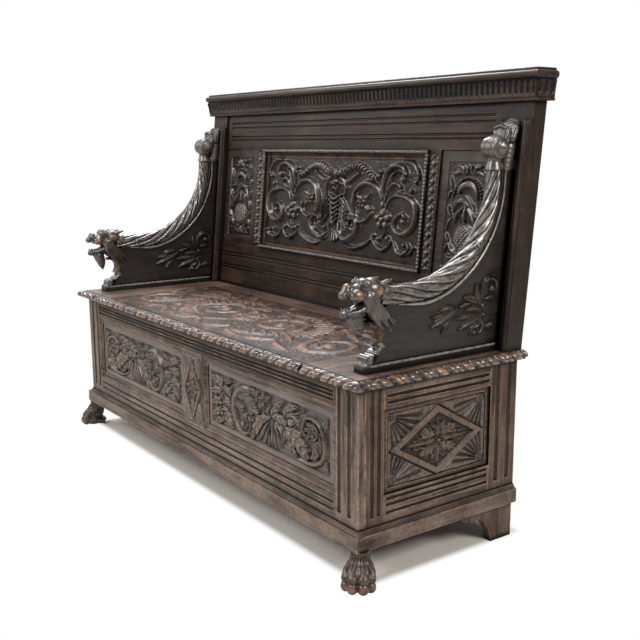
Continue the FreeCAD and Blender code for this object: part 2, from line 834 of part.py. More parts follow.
def build_hinges():
    """Two butt hinges let into the joint between lid and rear rail."""
    length = dim("hinge_length")
    third = length / 3
    play = 0.2
    pin = dim("pin_radius")
    fixed = hinge_leaves("fixed", 1, ((0, third - play), (third * 2 + play, length)), pin)
    moving = hinge_leaves("moving", -1, ((third + play, third * 2 - play),), pin + dim("pin_play"))
    fixed_screws = screws("fixed", 1)
    moving_screws = screws("moving", -1)
    keep("hinge_fixed_leaves", cut("hinge_fixed_leaves", group("fixed_plates", fixed), fixed_screws))
    keep("hinge_moving_leaves", cut("hinge_moving_leaves", group("moving_plates", moving), moving_screws))
    keep("hinge_screws_fixed", group("hinge_screws_fixed", fixed_screws))
    keep("hinge_screws_moving", group("hinge_screws_moving", moving_screws))
    axis_y, axis_z = hinge_line()
    pins = [
        rod(f"hinge_pin_{number}", "X", middle - length / 2, axis_y, axis_z, pin, length)
        for number, middle in enumerate(hinge_middles())
    ]
    keep("hinge_pins", group("hinge_pins", pins))


def lid_masses(middle):
    """Main masses of the lid's carving: an oval band round a boss, tilted ovals, medallions and sprays."""
    foot = seat - 1
    rise = dim("lid_relief") + 1
    band = level_oval("lid_band_rim", 0, middle + 12, foot, 316, 152, 0, rise)
    inside = level_oval("lid_band_inside", 0, middle + 12, foot - 1, 274, 112, 0, rise + 2)
    forms = [cut("lid_band", band, [inside])]
    forms.append(level_oval("lid_boss", 0, middle + 12, foot, 66, 46, 0, rise))
    for tag, side in (("right", 1), ("left", -1)):
        forms.append(level_oval(f"lid_oval_{tag}", 165 * side, middle + 30, foot, 80, 46, -35 * side, rise))
        forms.append(rod(f"lid_medallion_{tag}", "Z", 436 * side, middle - 52, foot, 56, rise))
        forms.append(level_oval(f"lid_spray_{tag}", 424 * side, middle + 74, foot, 76, 34, 8 * side, rise))
    return forms


def build_lid():
    """Lift-up lid: carved board, its own length of nulled edge and two battens underneath."""
    low = under_seat + dim("rest_gap")
    edge = dim("lid_half") - gap
    front_edge = front - dim("quirk_out")
    lid_rear = front + dim("lid_depth")
    blank = board("lid_blank", (-edge, edge), (front_edge, lid_rear), (low, seat))
    carved = joined("lid_carved", [blank] + lid_masses((front_edge + lid_rear) / 2))
    keep("lid_board", cut("lid_board", carved, hinge_sinkings("lid", -1) + screws("lid_bore", -1)))
    outline = nulled_outline(front_edge, low, -1)
    keep("lid_moulding", shaped("lid_moulding", "X", outline, (-edge, edge), {1: dim("nose_radius")}))
    offset = dim("batten_offset")
    reach = dim("batten_width") / 2
    battens = [
        board(f"lid_batten_{number}", (middle - reach, middle + reach), (front + 45, lid_rear - 30),
              (low - dim("batten_thick"), low))
        for number, middle in enumerate((-offset, offset))
    ]
    keep("lid_battens", group("lid_battens", battens))


def build_arms():
    """Arm: base rail, shaped board, round neck sweeping up to a rolled top, and the lion's head."""
    centre = dim("arm_centre")
    base_half = dim("arm_base_width") / 2
    base_top = seat + dim("arm_base_height")
    soft = dim("arm_base_round")
    lean = Size(math.tan(math.radians(dim("back_rake"))), "tan(Dims.back_rake)")
    heel = [back_foot + (height - seat) * lean for height in (base_top, dim("volute_bottom"), dim("arm_top"))]
    outline = [
        (centre - base_half, seat), (centre + base_half, seat), (centre + base_half, base_top - soft),
        (centre + base_half - soft, base_top), (centre - base_half + soft, base_top),
        (centre - base_half, base_top - soft),
    ]
    base = shaped("arm_base_right", "Y", outline, (front + dim("arm_front"), back_foot),
                  {2: -soft, 4: -soft})
    pair("arm_base", base)

    neck_y, neck_z = front + dim("neck_bend"), dim("neck_height")
    sweep = dim("sweep_radius")
    radius = dim("neck_radius")
    neck_top = dim("volute_bottom")
    head_end = front + 92
    neck_run = rod("neck_run", "Y", centre, head_end, neck_z, radius, neck_y - head_end)
    bend = doc.addObject("Part::Torus", "neck_bend")
    bind(bend, "Radius1", sweep)
    bind(bend, "Radius2", radius)
    bend.Angle3 = 90
    bend.Placement = Placement(Vector(), Rotation(Vector(0, 1, 0), 90))
    place(bend, centre, neck_y, neck_z + sweep)
    roll_y, roll_z = front + 427, neck_top + dim("volute_rise")
    bend_top = neck_z + sweep
    riser = rod("neck_riser", "Z", centre, neck_y + sweep, bend_top, radius - 2, roll_z - bend_top)

    wide = dim("volute_width") / 2
    arm_top = dim("arm_top")
    barrel = rod("volute_barrel", "X", centre - wide, roll_y, roll_z, dim("volute_radius"), wide * 2)
    outline = [
        (front + 436, neck_top), (front + 436, roll_z), (front + 444, roll_z + 22),
        (front + 448, roll_z + 52), (front + 483, arm_top), (heel[2], arm_top), (heel[1], neck_top),
    ]
    leaf = shaped("volute_leaf", "X", outline, (centre - wide + 4, centre + wide - 4), {2: 60})
    boss = rod("volute_boss", "X", centre - wide - 4, front + 434, roll_z + 1, 14, wide * 2 + 8)
    neck_form = joined("neck_form", [neck_run, bend, riser, barrel, leaf, boss])

    head_form = lion_head(centre, front, neck_z)
    scroll = rod("toe_scroll", "X", centre - base_half + 1, front + 54, base_top + 10, 10, base_half * 2 - 2)
    waist = base_top + 33
    throat = base_top + 86
    outline = [
        (front + 46, base_top), (front + 66, base_top + 15), (front + 68, waist - 6), (front + 82, waist),
        (front + 74, waist + 12), (front + 52, throat), (front + 62, neck_z),
        (neck_y, neck_z), (neck_y + sweep, neck_z + sweep), (neck_y + sweep, neck_top), (heel[1], neck_top),
        (heel[0], base_top),
    ]
    arm_half = dim("arm_thick") / 2
    slab = shaped("arm_slab", "X", outline, (centre - arm_half, centre + arm_half), {4: -24, 7: -sweep})
    arm_board = joined("arm_blank", [slab, scroll])
    pair("lion_head", head_form)
    pair("arm_neck", cut("arm_neck_right", neck_form, [head_form]))
    pair("arm_board", cut("arm_board_right", arm_board, [neck_form, head_form]))


def lion_head(centre, start, neck_z):
    """Lion's head looking forward, jaws apart: skull and muzzle, lower jaw, beard and ears."""
    # distance behind the chest front, height against the neck line, half width, half height
    skull_sections = ((106, 2, 24, 23), (82, 7, 33, 32), (52, 9, 34.5, 31), (26, 9, 29, 24),
                      (2, 9, 23, 18), (-13, 11, 16, 12), (-20, 12, 8, 6))
    jaw_sections = ((84, -20, 22, 28), (54, -32, 21, 20), (26, -33, 17, 12), (2, -29, 12, 7),
                    (-9, -27, 7, 4))
    skull = lofted("skull", [
        oval(f"skull_{number}", "Y", centre, start + away, neck_z + height, wide, tall)
        for number, (away, height, wide, tall) in enumerate(skull_sections)
    ])
    jaw = lofted("jaw", [
        oval(f"jaw_{number}", "Y", centre, start + away, neck_z + height, wide, tall)
        for number, (away, height, wide, tall) in enumerate(jaw_sections)
    ])
    beard_sections = ((-34, 34, 14, 20), (-58, 36, 9, 12), (-84, 41, 2, 2.5))
    beard = lofted("beard", [
        oval(f"beard_{number}", "Z", centre, start + away, neck_z + height, wide, deep)
        for number, (height, away, wide, deep) in enumerate(beard_sections)
    ])
    ears = [ball(f"ear_{number}", centre + side, start + 92, neck_z + 30, 9)
            for number, side in enumerate((-22, 22))]
    return joined("lion_head_right", [skull, jaw, beard] + ears)


def leaned(name, source):
    """A piece of the back, modelled upright from the foot of its face, leaned to the back's rake."""
    slope = group(name, [source])
    slope.Placement = Placement(Vector(), Rotation(Vector(1, 0, 0), -5))
    bind(slope, "Placement.Rotation.Angle", -dim("back_rake"))
    return place(slope, 0, back_foot, seat)


def stile_strips(spans):
    """Reeded strips on a stile's face beside the arm, rounded at the top, and hollows beside their beads."""
    deep = dim("strip_deep")
    top = dim("strip_top")
    bead = dim("strip_bead")
    strips, hollows = [], []
    for number, (inner, outer) in enumerate(spans):
        tag = f"stile_strip_{number}"
        strips.append(board(tag, (inner, outer), (-deep, 1), (-10, top)))
        strips.append(rod(f"{tag}_top", "X", inner, 0, top, deep, outer - inner))
        x = outer - bead - 2
        strips.append(rod(f"{tag}_bead", "Z", x, -deep, -10, bead, top + 10))
        strips.append(ball(f"{tag}_knob", x, -deep, top, bead))
        hollows.append(rod(f"{tag}_hollow", "Z", x - bead - 2, -deep, -20, 2.5, top + 60))
    return strips, hollows


def build_back():
    """Raked back: stiles, rails, beaded muntins, carved panels and the framed centre."""
    wide = dim("back_half")
    stile_inner = wide - dim("back_stile")
    deep = (0, dim("back_thick"))
    rail_deep = (dim("back_rail_set"), dim("back_rail_set") + dim("back_rail_thick"))
    panel_deep = (dim("back_panel_set"), dim("back_panel_set") + dim("back_panel_thick"))
    low, high = dim("back_low"), dim("back_high")
    over = dim("bead_bottom") - seat + 20
    room = dim("back_half") + 100
    seat_block = board("seat_level_block", (-room, room), (front, rear + 300), (seat - 100, seat))
    above = board("cornice_level_block", (-room, room), (front, rear + 300),
                  (dim("bead_bottom"), dim("bead_bottom") + 100))

    blank = board("back_stile_blank", (stile_inner, wide), deep, (-10, over))
    strips, hollows = stile_strips(((stile_inner, stile_inner + 18.5), (wide - 24.5, wide)))
    form = joined("back_stile_form", [blank] + strips)
    stile = leaned("back_stile_leaned", cut("back_stile_moulded", form, hollows))
    pair("back_stile", cut("back_stile_right", stile, [seat_block, above]))

    reed_start = -stile_inner + 28
    reed_length = stile_inner * 2 - 56
    face = rail_deep[0]
    blank = board("back_top_blank", (-stile_inner, stile_inner), rail_deep, (high, over))
    reeds = level_reeds("back_top", "X", reed_start, reed_length, face,
                        (high + 28, high + 39, high + 69, high + 84))
    rail = leaned("back_top_leaned", cut("back_top_moulded", blank, reeds))
    keep("back_top_rail", cut("back_top_rail", rail, [above]))
    blank = board("back_bottom_blank", (-stile_inner, stile_inner), rail_deep, (-10, low))
    reeds = level_reeds("back_bottom", "X", -stile_inner, stile_inner * 2, face,
                        (low - 34, low - 44, low - 76, low - 86))
    rail = leaned("back_bottom_leaned", cut("back_bottom_moulded", blank, reeds))
    keep("back_bottom_rail", cut("back_bottom_rail", rail, [seat_block]))

    centre_half = dim("centre_half")
    muntin_out = centre_half + dim("back_muntin")
    upright = (low, high)
    pair("back_muntin", leaned("back_muntin_right",
                               board("back_muntin_up", (centre_half, muntin_out), rail_deep, upright)))
    panel = board("centre_panel_blank", (-centre_half, centre_half), panel_deep, upright)
    middle = (low + high) / 2
    scrolls = carved_masses("centre_scroll", both_sides(CENTRE_MASSES) + MIDDLE_MASSES, (0, middle),
                            panel_deep[0], dim("centre_relief"))
    keep("back_centre_panel", leaned("back_centre_panel", joined("centre_panel_carved", [panel] + scrolls)))
    border = dim("side_border")
    panel = board("side_panel_blank", (muntin_out, stile_inner), (panel_deep[0] - 4, panel_deep[1]), upright)
    field = board("side_panel_field", (muntin_out + border, stile_inner - border),
                  (panel_deep[0] - 5, panel_deep[0]), (low + border, high - border))
    scrolls = carved_masses("side_scroll", SIDE_MASSES, ((muntin_out + stile_inner) / 2, middle),
                            panel_deep[0], dim("side_relief"))
    sunk = cut("side_panel_sunk", panel, [field])
    pair("back_side_panel", leaned("back_side_panel_right", joined("side_panel_carved", [sunk] + scrolls)))
    strips = framing("centre_bead", (-centre_half, centre_half), upright, 1, panel_deep[0],
                     dim("centre_bead"))
    keep("back_centre_moulding", leaned("back_centre_moulding", group("centre_bead_set", strips)))


def build_cornice():
    """Frieze that flares upward over a bead, under a moulded top board."""
    bead_low = dim("bead_bottom")
    frieze_low = bead_low + dim("bead_height")
    frieze_top = dim("frieze_top")
    top = dim("cornice_top")
    wide = dim("cornice_half")
    nose, back = front + dim("cornice_front"), front + dim("cornice_rear")

    def step(inset):
        """Half width span and depth span of a cornice layer set in from the nose."""
        return (-wide + inset, wide - inset), (nose + inset, back)

    bead = board("cornice_bead", *step(10), (bead_low, frieze_low))
    flare = frustum("frieze_flare", step(13) + (frieze_low,), step(8) + (frieze_top,))
    keep("cornice_frieze", joined("cornice_frieze", [bead, flare]))
    layers = [
        frustum("top_cove", step(6) + (frieze_top,), step(0) + (frieze_top + 9,)),
        board("top_nose", *step(0), (frieze_top + 9, top - 9)),
        frustum("top_bevel", step(0) + (top - 9,), step(9) + (top,)),
    ]
    keep("cornice_top_board", joined("cornice_top_board", layers))


build_plinth()
build_floor()
build_paw_feet()
build_bracket_feet()
build_chest_front()
build_chest_ends()
build_chest_back()
build_seat()
build_hinges()
build_lid()
build_arms()
build_back()
build_cornice()
doc.recompute()

for feature in doc.Objects:
    if "Invalid" in feature.State or "Error" in feature.State:
        raise RuntimeError(f"{feature.Label} failed: {feature.State}")
for name, feature in nodes.items():
    if feature.Shape.isNull() or not feature.Shape.isValid() or not feature.Shape.Solids:
        raise RuntimeError(f"{name} has no valid shape")

os.makedirs("parts", exist_ok=True)
for name, feature in nodes.items():
    solids = feature.Shape.Solids
    shape = solids[0] if len(solids) == 1 else Part.makeCompound(solids)
    shape.exportStep(f"parts/{name}.step")
print(len(nodes), "pieces written")
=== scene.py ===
"""Carved oak box settle dressed for the camera: relief carving, mouldings, heads, feet and finishes.

Relief is laid out in millimetres on flat fields and set on the boards that carry it.
"""
import logging
import math
from dataclasses import dataclass
from enum import Enum
from typing import Callable, Iterable, Sequence

import bmesh
import bpy
import numpy as np
from bmesh.types import BMesh
from mathutils import Matrix, Vector


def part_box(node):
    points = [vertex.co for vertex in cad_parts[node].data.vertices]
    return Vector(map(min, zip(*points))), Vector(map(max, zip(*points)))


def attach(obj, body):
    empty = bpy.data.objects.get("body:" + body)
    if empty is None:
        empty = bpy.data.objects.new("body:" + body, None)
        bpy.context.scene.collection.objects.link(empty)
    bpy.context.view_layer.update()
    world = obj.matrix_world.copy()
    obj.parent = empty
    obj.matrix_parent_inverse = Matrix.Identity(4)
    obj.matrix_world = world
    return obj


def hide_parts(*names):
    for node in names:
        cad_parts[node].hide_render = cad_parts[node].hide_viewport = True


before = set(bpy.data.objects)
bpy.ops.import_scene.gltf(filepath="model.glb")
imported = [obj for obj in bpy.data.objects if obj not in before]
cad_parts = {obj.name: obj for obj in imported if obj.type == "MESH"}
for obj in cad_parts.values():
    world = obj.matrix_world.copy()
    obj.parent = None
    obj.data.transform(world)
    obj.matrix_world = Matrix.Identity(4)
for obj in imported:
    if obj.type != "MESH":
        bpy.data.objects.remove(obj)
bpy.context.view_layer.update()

LOG = logging.getLogger("settle")
MM = 0.001
RIGHT = Vector((1, 0, 0))
FRONT = Vector((0, -1, 0))
REAR = Vector((0, 1, 0))
UP = Vector((0, 0, 1))
Point = tuple[float, float]
Colour = tuple[float, float, float]
Array = np.ndarray
Line = Sequence[Point] | Array
Node = bpy.types.Node
Socket = bpy.types.NodeSocket


class Grain(Enum):
    """Direction in which the wood's grain runs."""

    X = (1.2, 16.0, 16.0)
    Y = (16.0, 1.2, 16.0)
    Z = (16.0, 16.0, 1.2)


def unit(values: Array) -> Array:
    """Keeps values between 0 and 1."""
    return np.clip(values, 0.0, 1.0)


def bulge(values: Array) -> Array:
    """Height of a half circle at shares of its radius, 0 beyond it."""
    return np.sqrt(unit(1.0 - values ** 2))


class Section(Enum):
    """Cross-section of a carved stroke, from its middle (0) to its edge (1)."""

    ROUND = 1
    HOLLOW = 2
    RIDGE = 3
    FLAT = 4

    def rise(self, q: Array) -> Array:
        """Share of the full height at a distance from the stroke's middle.

        Args:
            q: Distance from the middle as a share of the half width.

        Returns:
            Height share for each distance.
        """
        inside = unit(q)
        if self is Section.ROUND:
            return np.sqrt(1.0 - inside ** 2)
        if self is Section.HOLLOW:
            return (0.42 + 0.58 * inside ** 2) * np.sqrt(1.0 - inside ** 8)
        if self is Section.RIDGE:
            return 1.0 - inside ** 1.5
        return np.sqrt(1.0 - inside ** 6)


def even(points: Line, step: float) -> Array:
    """Points set at even steps along a line of points.

    Args:
        points: Corners of the line.
        step: Distance between the new points.

    Returns:
        The new points, one row each.
    """
    line = np.asarray(points, float)
    runs = np.hypot(*np.diff(line, axis=0).T)
    along = np.concatenate(([0.0], np.cumsum(runs)))
    places = np.linspace(0.0, along[-1], max(int(along[-1] / step), 2))
    return np.column_stack([np.interp(places, along, line[:, axis]) for axis in (0, 1)])


def curve(points: Line, steps: int = 14) -> Array:
    """A smooth line through given points.

    Args:
        points: Points that the line passes through.
        steps: Points made on each span.

    Returns:
        Points of the smooth line.
    """
    knots = np.asarray(points, float)
    padded = np.vstack((2 * knots[0] - knots[1], knots, 2 * knots[-1] - knots[-2]))
    share = np.linspace(0.0, 1.0, steps, endpoint=False)[:, None]
    spans = []
    for before, start, end, after in zip(padded, padded[1:], padded[2:], padded[3:]):
        spans.append(0.5 * (2 * start + (end - before) * share
                            + (2 * before - 5 * start + 4 * end - after) * share ** 2
                            + (3 * start - before - 3 * end + after) * share ** 3))
    return np.vstack(spans + [knots[-1:]])


def ring(centre: Point, radius: float, start_deg: float, sweep_deg: float) -> Array:
    """An arc round a centre.

    Args:
        centre: Middle of the arc.
        radius: Its radius.
        start_deg: Angle where it starts.
        sweep_deg: Angle that it turns through.

    Returns:
        Points of the arc.
    """
    angle = np.radians(start_deg + sweep_deg * np.linspace(0.0, 1.0, 72))
    return np.column_stack((centre[0] + radius * np.cos(angle), centre[1] + radius * np.sin(angle)))


class Relief:
    """A flat field whose height is carved stroke by stroke, in millimetres."""

    CHUNK: int = 20
    THINNEST: float = 0.4

    def __init__(self, width: float, height: float, pitch: float) -> None:
        """Lays out an empty field.

        Args:
            width: Size along u.
            height: Size along v.
            pitch: Distance between neighbouring points.
        """
        self.width, self.height, self.pitch = width, height, pitch
        self.columns = int(round(width / pitch)) + 1
        self.rows = int(round(height / pitch)) + 1
        self.u, self.v = np.meshgrid(np.linspace(-width / 2, width / 2, self.columns),
                                     np.linspace(-height / 2, height / 2, self.rows))
        self.h = np.zeros_like(self.u)

    def window(self, xs: Array, ys: Array, reach: float) -> tuple[slice, slice]:
        """Rows and columns of the field within reach of some points.

        Args:
            xs: Places of the points along u.
            ys: Places of the points along v.
            reach: Distance round them.

        Returns:
            Slice of the rows and slice of the columns.
        """
        spans = []
        for places, size, count in ((ys, self.height, self.rows), (xs, self.width, self.columns)):
            step = size / (count - 1)
            low = (places.min() - reach + size / 2) / step
            high = (places.max() + reach + size / 2) / step
            spans.append(slice(max(int(low), 0), max(int(high) + 2, 0)))
        return spans[0], spans[1]

    def trace(self, path: Array, halves: Array, gap: float
              ) -> tuple[Array, Array, Array]:
        """Measures the field against a band.

        Args:
            path: Stations of the band's middle line.
            halves: Half widths at the stations.
            gap: How far outside the band the field is measured.

        Returns:
            Distance from the middle in half widths, nearest station and distance to the band's edge.
        """
        near = np.full_like(self.h, np.inf)
        outside = np.full_like(self.h, np.inf)
        station = np.zeros(self.h.shape, int)
        for first in range(0, len(path), self.CHUNK):
            xs, ys = path[first:first + self.CHUNK].T
            half = np.maximum(halves[first:first + self.CHUNK], self.THINNEST)
            win = self.window(xs, ys, half.max() + gap)
            away = np.hypot(self.u[win][..., None] - xs, self.v[win][..., None] - ys)
            if not away.size:
                continue
            q = away / half
            best = q.argmin(-1)
            value = np.take_along_axis(q, best[..., None], -1)[..., 0]
            nearer = value < near[win]
            near[win] = np.where(nearer, value, near[win])
            station[win] = np.where(nearer, best + first, station[win])
            outside[win] = np.minimum(outside[win], (away - half).min(-1))
        return near, station, outside

    def lay(self, inside: Array, rise: Array, outside: Array, gap: float) -> None:
        """Lays a new form over the field and sinks what lies close beside it.

        Args:
            inside: True where the new form is.
            rise: Height of the new form.
            outside: Distance to the form's edge.
            gap: Width of the sunk margin round the form.
        """
        margin = unit(outside / gap)
        self.h = np.where(inside, np.maximum(rise, 0.45 * self.h), self.h * (0.15 + 0.85 * margin))

    def stroke(self, points: Line, widths: Sequence[float], heights: Sequence[float],
               section: Section = Section.ROUND, gap: float = 2.5) -> None:
        """Carves a band that follows a line.

        Args:
            points: The line.
            widths: Full widths at even stations along the line.
            heights: Heights at even stations along the line.
            section: Shape across the band.
            gap: Width of the sunk margin.
        """
        path = even(points, self.pitch * 0.8)
        share = np.linspace(0.0, 1.0, len(path))
        halves = np.interp(share, np.linspace(0, 1, len(widths)), widths) / 2
        crests = np.interp(share, np.linspace(0, 1, len(heights)), heights)
        near, station, outside = self.trace(path, halves, gap)
        self.lay(near < 1.0, crests[station] * section.rise(near), outside, gap)

    def leaf(self, points: Line, width: float, height: float, lobes: int = 4, gap: float = 2.2) -> None:
        """Carves an acanthus leaf: a vein with slanting flutes and a scalloped edge.

        Args:
            points: Points of the vein, from its root to its tip.
            width: Largest full width.
            height: Height of the leaf.
            lobes: Lobes on each side.
            gap: Width of the sunk margin.
        """
        path = even(curve(points), self.pitch * 0.8)
        share = np.linspace(0.0, 1.0, len(path))
        halves = width / 2 * np.sin(np.pi * (0.14 + 0.8 * share)) ** 0.8
        near, station, outside = self.trace(path, halves, gap + 0.2 * width)
        along = share[station]
        fold = np.abs(np.sin(np.pi * (lobes * along - 0.6 * np.minimum(near, 1.0) + 0.3))) ** 0.65
        rim = 0.64 + 0.36 * fold
        shape = np.sqrt(unit(1.0 - (near / rim) ** 4))
        shape = shape * (0.58 + 0.42 * fold) * (0.82 + 0.22 * along)
        rise = height * shape * (1.0 - 0.34 * np.exp(-(near / 0.13) ** 2))
        beyond = np.where(near < 1.0, near - rim, 1.0 - rim) * halves[station] + np.maximum(outside, 0.0)
        self.lay(near < rim, rise, beyond, gap)

    def scroll(self, points: Line, widths: Sequence[float], height: float) -> None:
        """Carves a ridged scroll that ends in a round eye.

        Args:
            points: Points of its middle line, from its root to the eye.
            widths: Full widths at even stations along it.
            height: Height of its ridge.
        """
        self.stroke(curve(points), widths, (0.55 * height, height, height, 0.8 * height), Section.RIDGE, 3.0)
        self.boss(points[-1], widths[-1], widths[-1], height)

    def blades(self, root: Point, tips: Iterable[tuple[Point, Point]], width: float, height: float) -> None:
        """Carves long ridged blades from one root.

        Args:
            root: Where the blades spring from.
            tips: Middle and tip of each blade.
            width: Largest full width.
            height: Height of their ridges.
        """
        widths = [share * width for share in (0.4, 0.8, 1.0, 0.9, 0.25)]
        heights = [share * height for share in (0.6, 0.9, 1.0, 0.8)]
        for middle, tip in tips:
            self.stroke(curve([root, middle, tip]), widths, heights, Section.RIDGE, 2.0)

    def boss(self, centre: Point, half_wide: float, half_tall: float, height: float, tilt_deg: float = 0.0,
             petals: int = 0, button: float = 0.0, lattice: float = 0.0, gap: float = 2.5) -> None:
        """Carves a rounded boss, a petalled flower or a scaled cone.

        Args:
            centre: Middle of the boss.
            half_wide: Half width.
            half_tall: Half height.
            height: Height of the crown.
            tilt_deg: Turn of the boss.
            petals: Petals round it, none for a plain boss.
            button: Share of the radius that a raised middle takes.
            lattice: Size of the scales of a cone, none if zero.
            gap: Width of the sunk margin.
        """
        turn = math.radians(tilt_deg)
        du, dv = self.u - centre[0], self.v - centre[1]
        x = (du * math.cos(turn) + dv * math.sin(turn)) / half_wide
        y = (-du * math.sin(turn) + dv * math.cos(turn)) / half_tall
        radius = np.hypot(x, y)
        rim = np.ones_like(radius)
        rise = bulge(radius)
        if petals:
            fold = np.abs(np.cos(np.arctan2(y, x) * petals / 2))
            rim = 0.72 + 0.28 * fold ** 0.6
            rise = unit(1.0 - (radius / rim) ** 3) ** 0.5 * (0.4 + 0.4 * fold + 0.2 * radius)
        if lattice:
            across, along = x * half_wide / lattice, y * half_tall / lattice
            scales = np.abs(np.sin(math.pi * (across + along)) * np.sin(math.pi * (across - along)))
            rise = rise * (0.66 + 0.34 * scales ** 0.6)
        if button:
            crown = bulge(radius / button)
            moat = np.exp(-((radius - button * 1.12) / 0.09) ** 2)
            rise = np.where(radius < button, 0.55 + 0.55 * crown, rise * (1.0 - 0.7 * moat))
        self.lay(radius < rim, height * rise, (radius - rim) * min(half_wide, half_tall), gap)

    def flower(self, centre: Point, reach: float, height: float, leaves: int, turn_deg: float = 0.0) -> None:
        """Carves a flower: leaves round a petalled boss.

        Args:
            centre: Middle of the flower.
            reach: Its radius.
            height: Height of the boss.
            leaves: Number of leaves.
            turn_deg: Direction of the first leaf.
        """
        for number in range(leaves):
            angle = math.radians(turn_deg + 360 * number / leaves)
            way = np.array((math.cos(angle), math.sin(angle)))
            self.leaf([np.array(centre) + way * reach * 0.3, np.array(centre) + way * reach],
                      reach * 4.6 / leaves, height * 0.85, 2, gap=1.5)
        self.boss(centre, reach * 0.44, reach * 0.44, height, petals=6, button=0.42)

    def fan(self, centre: Point, inner: float, outer: float, start_deg: float, end_deg: float, ribs: int,
            height: float, sunk: bool = False) -> None:
        """Carves a fan of ribs, or of gouged flutes where it is sunk.

        Args:
            centre: Point that the ribs spring from.
            inner: Radius where they start.
            outer: Radius where they end.
            start_deg: First edge of the fan.
            end_deg: Last edge of the fan.
            ribs: Number of ribs.
            height: Height of the ribs, or depth of the flutes.
            sunk: True for flutes cut into the ground.
        """
        du, dv = self.u - centre[0], self.v - centre[1]
        radius = np.hypot(du, dv)
        half = (end_deg - start_deg) / 2
        angle = (np.degrees(np.arctan2(dv, du)) - start_deg - half + 180) % 360 - 180
        wave = np.abs(np.sin(np.pi * ribs * (angle + half) / (2 * half)))
        tips = unit((outer * (0.9 + 0.1 * wave) - radius) / 2.5)
        ends = unit((radius - inner) / 4.0) * tips
        inside = (np.abs(angle) < half) & (ends > 0)
        if sunk:
            cut = unit((wave - 0.62) / 0.3) * np.sqrt(ends)
            self.h = np.where(inside, self.h - height * cut, self.h)
            return
        rise = height * (0.3 + 0.7 * wave ** 0.7) * np.sqrt(ends) * (0.55 + 0.45 * radius / outer)
        edge = np.where(np.abs(angle) < half, np.maximum(radius - outer, inner - radius), 9.0)
        self.lay(inside, rise, edge, 2.5)

    def beads(self, points: Line, size: float, height: float) -> None:
        """Carves a row of touching beads along a line.

        Args:
            points: The line.
            size: Width of a bead.
            height: Height of a bead.
        """
        for x, y in even(points, size * 1.02):
            win = self.window(np.array([x]), np.array([y]), size)
            away = np.hypot(self.u[win] - x, self.v[win] - y) / (size / 2)
            dome = height * bulge(away)
            self.h[win] = np.where(away < 1.0, dome, self.h[win])

    def mirror(self) -> None:
        """Makes the left half the mirror image of the right half."""
        half = self.columns // 2
        self.h[:, :half] = self.h[:, ::-1][:, :half]

    def flipped(self) -> "Relief":
        """Exchanges left and right.

        Returns:
            The new field.
        """
        twin = Relief(self.width, self.height, self.pitch)
        twin.h = self.h[:, ::-1].copy()
        return twin

    def finish(self, ground: float, tooling: float, margin: float, seed: int, border: float = 0.0,
               rise: float = 0.0) -> None:
        """Adds tool marks, brings the rim down to the ground and leaves a plain border round it.

        Args:
            ground: Depth of the stipple on the ground.
            tooling: Size of the marks on the forms.
            margin: Width of the rim.
            seed: Seed of the marks.
            border: Width of the plain border.
            rise: Height of the plain border.
        """
        marks = np.random.default_rng(seed).normal(0.0, 1.0, self.h.shape)
        soft = (marks + np.roll(marks, 1, 0) + np.roll(marks, 1, 1) + np.roll(marks, (1, 1), (0, 1))) / 4
        low = unit(1.0 - self.h / 1.5)
        rim = np.minimum(self.width / 2 - np.abs(self.u), self.height / 2 - np.abs(self.v)) - border
        self.h = (self.h + soft * (ground * low + tooling * (1.0 - low))) * unit(rim / margin)
        self.h = np.where(rim < 0.0, rise, self.h)


@dataclass(frozen=True)
class Plane:
    """Where a flat field lies: its middle and the directions of u and v."""

    middle: Vector
    along: Vector
    up: Vector

    @property
    def out(self) -> Vector:
        """Direction in which the relief rises."""
        return self.along.cross(self.up)


